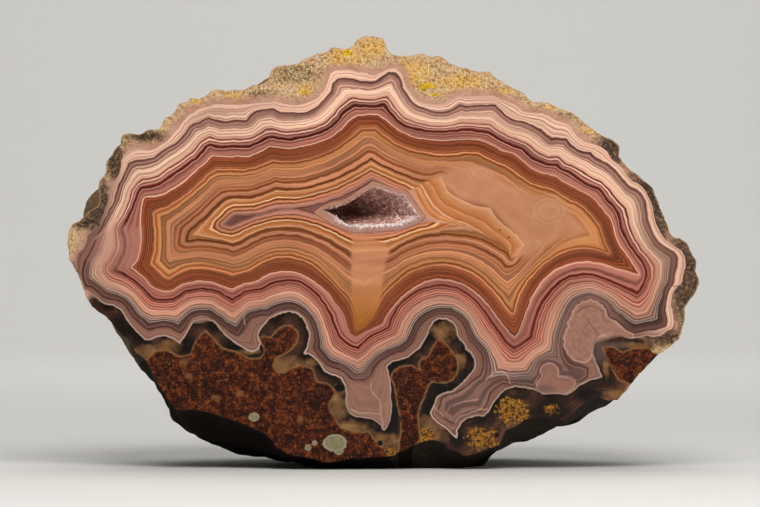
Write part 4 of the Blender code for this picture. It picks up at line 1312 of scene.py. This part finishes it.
rindLook = {
    "noises": {"broad": (11.0, 6.0, 0.6), "wander": (6.0, 5.0, 0.5), "bumps": (1.4, 8.0, 0.65)},
    "broad": [(0.0, "33251a"), (0.35, "6c5038"), (0.55, "8c6c48"), (0.75, "746048"), (1.0, "a4845c")],
    "grains": [(0.0, "443220"), (0.4, "7a5c38"), (0.75, "9c7a50"), (1.0, "ccb084")],
    "grainSize": 0.38,          # mm
    "grainAmount": 0.45,
    "shadeTop": 0.026,           # metres above the ground where the painted shade of the lower skin starts
    "shadeWhole": 0.018,
    "shadeWander": 0.006,        # metres that its edge wanders up and down
    # painted shade of the underside: how much of it, and its colour
    "shadeAmount": 0.92,
    "dark": "0a0705",
    "bumpStrength": 0.7,
    "bumpHeight": 0.6,          # mm
}


def weatheredRind():
    # The natural outside of the nodule: chalcedony skin weathered in the ground, rough and
    # pitted, tan with rusty and grey stains and pale mineral grains, with painted shade making it nearly
    # black towards the bottom
    look = rindLook
    surface = {"Roughness": 0.85, "IOR": 1.54, "Specular IOR Level": 0.2}
    material, tree, shader = startMaterial("weatheredRind", surface)
    place = addNode(tree, "TexCoord", out=3)
    held = addNoises(tree, place, look["noises"])
    cells = addNode(tree, "TexVoronoi", {"Vector": place, "Scale": perMetre(look["grainSize"])}, 1)
    cell = addNode(tree, "SeparateColor", {0: cells})
    base = addNode(tree, "ValToRGB", {0: held["broad"]}, stops=look["broad"])
    specks = addNode(tree, "ValToRGB", {0: cell}, stops=look["grains"])
    colour = addNode(tree, "Mix", {0: look["grainAmount"], 6: base, 7: specks}, 2, data_type="RGBA")
    # painted shade: nearly black towards the bottom, its edge wandering up and down
    height = addNode(tree, "SeparateXYZ", {0: place}, 2)
    wander = look["shadeWander"]
    drift = addNode(tree, "MapRange", {0: held["wander"], 3: -wander, 4: wander})
    height = addNode(tree, "Math", {0: height, 1: drift}, operation="ADD")
    span = {1: look["shadeTop"], 2: look["shadeWhole"], 4: look["shadeAmount"]}
    low = addNode(tree, "MapRange", {0: height, **span})
    colour = addNode(tree, "Mix", {0: low, 6: colour, 7: look["dark"]}, 2, data_type="RGBA")
    tree.links.new(colour, shader.inputs["Base Color"])
    settings = {"Strength": look["bumpStrength"], "Distance": look["bumpHeight"] * metresPerMm}
    bump = addNode(tree, "Bump", {"Height": held["bumps"], **settings})
    tree.links.new(bump, shader.inputs["Normal"])
    return material


lavaLook = {
    "noises": {"broad": (4.0, 4.0, 0.6), "middle": (0.8, 5.0, 0.72), "rough": (0.5, 5.0, 0.65)},
    "grainSize": 0.3,           # mm
    "mixes": {"middle": 0.75, "grains": 0.3},       # how much of a ramp is laid over the broad one
    # painted shade over the lava's outside, nearly black where the underside lies in shadow, and how much
    # of it
    "undersideShade": "060403",
    "undersideShadeAmount": 0.95,
    "sawnRoughness": 0.6,
    "brokenRoughness": 0.92,
    "bumpStrength": 0.6,
    "bumpHeight": 0.3,          # mm
    "ramps": {
        "broad": [(0.0, "190702"), (0.4, "381105"), (0.7, "511d09"), (1.0, "63280f")],
        "middle": [
            (0.0, "050101"), (0.3, "100401"), (0.45, "311105"), (0.6, "5f280e"), (0.78, "8d481e"),
            (1.0, "b7733f"),
        ],
        "grains": [(0.0, "070201"), (0.4, "200a03"), (0.7, "461a09"), (0.9, "7b3b17"), (1.0, "b0703f")],
        "chip": [(0.0, "6c6448"), (0.5, "8a8262"), (1.0, "a09878")],
    },
    "layers": [
        # painted shade in the pits
        {"where": "pitShade", "wobble": ("rough", 0.3), "span": (0.3, 0.9), "amount": 0.6,
         "colour": "160804"},
        {"where": "stains", "wobble": ("rough", 0.35), "span": (0.5, 0.8), "amount": 0.6,
         "colour": "8c5c38"},
        {"where": "chips", "wobble": ("rough", 0.1), "span": (0.46, 0.54), "colour": "chip",
         "by": "rough"},
        {"where": "chips", "wobble": ("rough", 0.1), "fold": 0.5, "span": (0.12, 0.03),
         "amount": 0.7, "colour": "b8a888"},
        {"where": "rockGap", "wobble": ("rough", 0.9), "span": (1.5, 0.5), "amount": 0.6,
         "colour": "8c5228"},
    ],
}


def lava(name, sawn):
    # Basalt that the nodule grew in, rusted red-brown right through: grains and gas holes well
    # under a millimetre wide, cut flat on the face and rough outside, where painted shade darkens it
    # nearly to black
    look = lavaLook
    roughness = look["sawnRoughness"] if sawn else look["brokenRoughness"]
    surface = {"Roughness": roughness, "IOR": 1.6, "Specular IOR Level": 0.1}
    material, tree, shader = startMaterial(name, surface)
    place = addNode(tree, "TexCoord", out=3)
    held = addNoises(tree, place, look["noises"])
    cells = addNode(tree, "TexVoronoi", {"Vector": place, "Scale": perMetre(look["grainSize"])}, 1)
    held["grains"] = addNode(tree, "SeparateColor", {0: cells})
    ramps = look["ramps"]
    colour = addNode(tree, "ValToRGB", {0: held["broad"]}, stops=ramps["broad"])
    for layer, amount in look["mixes"].items():
        over = addNode(tree, "ValToRGB", {0: held[layer]}, stops=ramps[layer])
        colour = addNode(tree, "Mix", {0: amount, 6: colour, 7: over}, 2, data_type="RGBA")
    if sawn:
        for value in rockValues:
            held[value] = addNode(tree, "Attribute", out=2, attribute_name=value)
        colour = addLayers(tree, colour, look["layers"], held, ramps)
    else:
        # painted shade: the outside darkened nearly to black, standing for the shadowed underside
        undersideShade = {0: look["undersideShadeAmount"], 6: colour, 7: look["undersideShade"]}
        colour = addNode(tree, "Mix", undersideShade, 2, data_type="RGBA")
    tree.links.new(colour, shader.inputs["Base Color"])
    settings = {"Strength": look["bumpStrength"], "Distance": look["bumpHeight"] * metresPerMm}
    bump = addNode(tree, "Bump", {"Height": held["middle"], **settings})
    tree.links.new(bump, shader.inputs["Normal"])
    return material


quartzLook = {
    "cellSize": 0.42,           # mm across a crystal face's patch of colour
    "dark": [(0.0, "70402e"), (0.5, "a86a56"), (0.85, "c48874"), (1.0, "e8bcac")],
    "light": [(0.0, "b47c70"), (0.5, "d4a094"), (0.8, "e4b8aa"), (1.0, "fff4ee")],
    "shadeToLitSpan": (-0.0115, 0.0005),     # metres across, from the dark points to the light ones: painted shade of the hollow's depth on the left, over the crystals' own brown to lilac
    "frost": "f6ece8",
    "frostSpan": (-0.0180, -0.0170),    # metres behind the face, from the frosted edge inwards
    "frostAmount": 0.7,
    "frostHeight": (0.0425, 0.0412),    # metres above the ground: whole below the second
    "frostAbove": 0.15,                 # how much of it is left above the first
    "rimHeight": (0.0428, 0.0412),      # metres above the ground, from the upper rim to the under one
    "rimClouds": (0.45, 5.0, 0.7),      # a noise as (size in mm, detail, roughness)
    "rimDrift": 0.4,
    "upperRim": [(0.0, "b87c5e"), (0.4, "b4826c"), (0.7, "a07868"), (1.0, "bc9488")],
    "underRim": [(0.0, "a87460"), (0.3, "b48878"), (0.6, "a88078"), (0.8, "d8bcb0"), (1.0, "f0e0d8")],
}


def quartzPoints():
    # Druse of small quartz crystals with growth faces as smooth as glass: they glint where they
    # catch the light, brown to lilac at the right, with painted shade making them darker towards the deep
    # left of the hollow
    look = quartzLook
    material, tree, shader = startMaterial("quartzPoints", {"Roughness": 0.1, "IOR": 1.54})
    place = addNode(tree, "TexCoord", out=3)
    axes = addNode(tree, "SeparateXYZ", {0: place}).node
    start, end = look["shadeToLitSpan"]
    litShare = addNode(tree, "MapRange", {0: axes.outputs[0], 1: start, 2: end})
    cells = addNode(tree, "TexVoronoi", {"Vector": place, "Scale": perMetre(look["cellSize"])}, 1)
    cell = addNode(tree, "SeparateColor", {0: cells})
    dark = addNode(tree, "ValToRGB", {0: cell}, stops=look["dark"])
    light = addNode(tree, "ValToRGB", {0: cell}, stops=look["light"])
    # painted shade: the darker points at the left, deep in the hollow, the lighter ones at the right
    colour = addNode(tree, "Mix", {0: litShare, 6: dark, 7: light}, 2, data_type="RGBA")
    start, end = look["frostSpan"]
    settings = {0: axes.outputs[1], 1: start, 2: end, 3: look["frostAmount"], 4: 0.0}
    rim = addNode(tree, "MapRange", settings)
    start, end = look["frostHeight"]
    under = addNode(tree, "MapRange", {0: axes.outputs[2], 1: start, 2: end, 3: look["frostAbove"]})
    frost = addNode(tree, "Math", {0: rim, 1: under}, operation="MULTIPLY")
    colour = addNode(tree, "Mix", {0: frost, 6: colour, 7: look["frost"]}, 2, data_type="RGBA")
    tree.links.new(colour, shader.inputs["Base Color"])
    return material


def sawnQuartz():
    # The rim of the druse, cut through and polished with the face: pink against the agate and
    # white by the lower edge of the opening
    look = quartzLook
    material, tree, shader = startMaterial("sawnQuartz", {"Roughness": 0.22, "IOR": 1.54})
    place = addNode(tree, "TexCoord", out=3)
    share = addNode(tree, "Attribute", out=2, attribute_name="rimShare")
    held = addNoises(tree, place, {"clouds": look["rimClouds"]})
    most = look["rimDrift"]
    drift = addNode(tree, "MapRange", {0: held["clouds"], 3: -most, 4: most})
    share = addNode(tree, "Math", {0: share, 1: drift}, operation="ADD", use_clamp=True)
    upper = addNode(tree, "ValToRGB", {0: share}, stops=look["upperRim"])
    under = addNode(tree, "ValToRGB", {0: share}, stops=look["underRim"])
    height = addNode(tree, "SeparateXYZ", {0: place}, 2)
    start, end = look["rimHeight"]
    low = addNode(tree, "MapRange", {0: height, 1: start, 2: end})
    colour = addNode(tree, "Mix", {0: low, 6: upper, 7: under}, 2, data_type="RGBA")
    tree.links.new(colour, shader.inputs["Base Color"])
    return material


druse = {
    "columns": 180,
    "gap": 0.02,                # mm between the crust and the agate
    "depth": 12.2,
    "innerDepth": 10.4,
    "deepest": (342, 211),      # where the room narrows to, in sketch units
    "narrowing": (0.9, 1.4, 0.85, 0.8),     # powers of the room's depth, width (twice) and slant
    "rings": 46,
    "longPoint": 0.6,           # mm of the tallest crystal point
    "pointShare": (0.3, 1.0),   # of that height, least and most
    "pointSlope": (0.5, 1.2),   # and its limit, in widths of the point's foot
    "rimJitter": 0.16,          # mm, of the points of the rim
    "wallJitter": 0.13,         # mm, of the points inside
}


def makeDruse():
    # one closed crust: smooth towards the agate, grown into points on the open side
    outer = evenly(smoothLine(onFace(hollow), 0.05), druse["columns"])
    centre = onFace([hollowMiddle])[0]
    nearer = 1.0 - druse["gap"] / np.linalg.norm(outer - centre, axis=1).mean()
    outer = centre + (outer - centre) * nearer
    mouthLine = smoothLine(onFace(vugMouth), 0.02)
    angles = np.arctan2(outer[:, 1] - centre[1], outer[:, 0] - centre[0])
    mouthAngles = np.arctan2(mouthLine[:, 1] - centre[1], mouthLine[:, 0] - centre[0])
    inner = []
    for angle in angles:
        apart = np.angle(np.exp(1j * (mouthAngles - angle)))
        inner.append(mouthLine[np.argmin(np.abs(apart))])
    inner = np.array(inner)
    chance = random.Random(11)
    for i in range(len(inner)):
        inner[i] += np.array([chance.uniform(-1, 1), chance.uniform(-1, 1)]) * druse["rimJitter"]
    mesh = bmesh.new()
    share = mesh.verts.layers.float.new("rimShare")
    backRings = [addRing(mesh, ring) for ring in hollowRings(outer, druse["depth"])]
    deepest = onFace([druse["deepest"]])[0]
    roomRings = []
    deepPower, widthPower, closingPower, slantPower = druse["narrowing"]
    for i in range(druse["rings"]):
        t = i / druse["rings"]
        depth = druse["innerDepth"] * t ** deepPower
        width = (1.0 - t ** widthPower) ** closingPower
        middle = centre + (deepest - centre) * t ** slantPower
        flat = middle + (inner - centre) * width
        roomRings.append(addRing(mesh, [(x, stone["faceY"] + depth, z) for x, z in flat]))
    for vert in roomRings[0]:
        vert[share] = 1.0
    joinRings(mesh, backRings[0], roomRings[0])
    for first, second in zip(backRings, backRings[1:]):
        joinRings(mesh, first, second)
    closeRing(mesh, backRings[-1], (centre[0], stone["faceY"] + druse["depth"], centre[1]))
    wall = []
    for first, second in zip(roomRings, roomRings[1:]):
        wall += joinRings(mesh, first, second)
    wall += closeRing(mesh, roomRings[-1], (deepest[0], stone["faceY"] + druse["innerDepth"], deepest[1]))
    bmesh.ops.recalc_face_normals(mesh, faces=mesh.faces)
    for ring in roomRings[1:]:
        for vert in ring:
            aside = Vector([chance.uniform(-1, 1) for _ in range(3)])
            vert.co += aside * druse["wallJitter"] * metresPerMm
    for face in wall:
        height = druse["longPoint"] * chance.uniform(*druse["pointShare"])
        foot = math.sqrt(face.calc_area()) / metresPerMm
        height = min(height, foot * chance.uniform(*druse["pointSlope"]))
        bmesh.ops.poke(mesh, faces=[face], offset=height * metresPerMm)
    for face in mesh.faces:
        flat = all(abs(v.co.y / metresPerMm - stone["faceY"]) < 1e-4 for v in face.verts)
        face.material_index = 0 if flat else 1
    return makeObject("quartzDruse", mesh)


quartzDruse = makeDruse()
print("druse grown:", len(quartzDruse.data.polygons), "faces")

for item, materials in (
    (agateStone, (polishedAgate(), weatheredRind())),
    (lavaRock, (lava("sawnLava", True), lava("weatheredLava", False))),
    (quartzDruse, (sawnQuartz(), quartzPoints())),
):
    for material in materials:
        item.data.materials.append(material)
print("materials made")

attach(agateStone, "root")
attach(lavaRock, "root")
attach(quartzDruse, "root")
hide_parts("agate")
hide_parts("host_rock")
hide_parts("quartz_crust")

# The stage, the light and the camera
stoneMiddle = (-0.003, -0.01, 0.05)
studio = {
    "floor": "e0ded9",
    "halfWidth": 3.0,           # metres, as are the next four
    "floorFront": -3.0,
    "curveStart": 0.8,
    "curveRadius": 0.4,
    "wallTop": 2.5,
    "curveSteps": 12,
    "world": 0.08,
    # each light's place, what it aims at and its size in metres, and its power in watts
    "lights": {
        "keyLight": ((0.02, -0.26, 0.27), stoneMiddle, (0.22, 0.16), 1.0),
        "fillLight": ((0.6, -0.6, 0.3), stoneMiddle, (0.5, 0.5), 1.0),
        "topLight": ((0.0, 0.2, 0.8), stoneMiddle, (0.6, 0.5), 2.0),
        "backLight": ((0.0, 0.5, 0.8), (0.0, 1.2, 0.2), (0.9, 0.4), 5.0),
    },
    "lens": 200.0,              # mm, as is the sensor
    "sensor": 36.0,
    "viewWidth": 0.12667,       # metres across the picture in the plane of the face
    "viewMiddle": (-0.00333, 0.03608),
}


def makeStage():
    # a floor that curves up into a backdrop
    mesh = bmesh.new()
    start, radius, reach = studio["curveStart"], studio["curveRadius"], studio["halfWidth"]
    profile = [(studio["floorFront"], 0.0), (start, 0.0)]
    for i in range(1, studio["curveSteps"] + 1):
        turn = math.radians(90 * i / studio["curveSteps"])
        profile.append((start + radius * math.sin(turn), radius - radius * math.cos(turn)))
    profile.append((start + radius, studio["wallTop"]))
    rows = [[mesh.verts.new((x, y, z)) for x in (-reach, reach)] for y, z in profile]
    for low, high in zip(rows, rows[1:]):
        mesh.faces.new((low[0], low[1], high[1], high[0])).smooth = True
    data = bpy.data.meshes.new("studioFloor")
    mesh.to_mesh(data)
    mesh.free()
    floor = bpy.data.objects.new("studioFloor", data)
    bpy.context.scene.collection.objects.link(floor)
    # Matt paper, without any gloss
    surface = {"Roughness": 0.9, "Base Color": linear(studio["floor"])}
    data.materials.append(startMaterial("studioPaper", surface)[0])


def addLight(name, place, aimedAt, size, power):
    lamp = bpy.data.lights.new(name, "AREA")
    lamp.shape = "RECTANGLE"
    lamp.size, lamp.size_y = size
    lamp.energy = power
    item = bpy.data.objects.new(name, lamp)
    item.location = place
    aim = Vector(aimedAt) - Vector(place)
    item.rotation_euler = aim.to_track_quat("-Z", "Y").to_euler()
    bpy.context.scene.collection.objects.link(item)


makeStage()
for name, settings in studio["lights"].items():
    addLight(name, *settings)
world = bpy.data.worlds.new("studioAir")
world.use_nodes = True
background = world.node_tree.nodes["Background"]
background.inputs["Color"].default_value = (1.0, 1.0, 1.0, 1.0)
background.inputs["Strength"].default_value = studio["world"]
bpy.context.scene.world = world
bpy.context.scene.view_settings.view_transform = "Standard"

camera = bpy.data.cameras.new("camera")
camera.lens = studio["lens"]
camera.sensor_width = studio["sensor"]
camera.clip_start = 0.01
cameraItem = bpy.data.objects.new("camera", camera)
distance = studio["viewWidth"] * camera.lens / camera.sensor_width
across, up = studio["viewMiddle"]
cameraItem.location = (across, stone["faceY"] * metresPerMm - distance, up)
cameraItem.rotation_euler = (math.radians(90), 0.0, 0.0)
bpy.context.scene.collection.objects.link(cameraItem)
bpy.context.scene.camera = cameraItem
print("studio set")
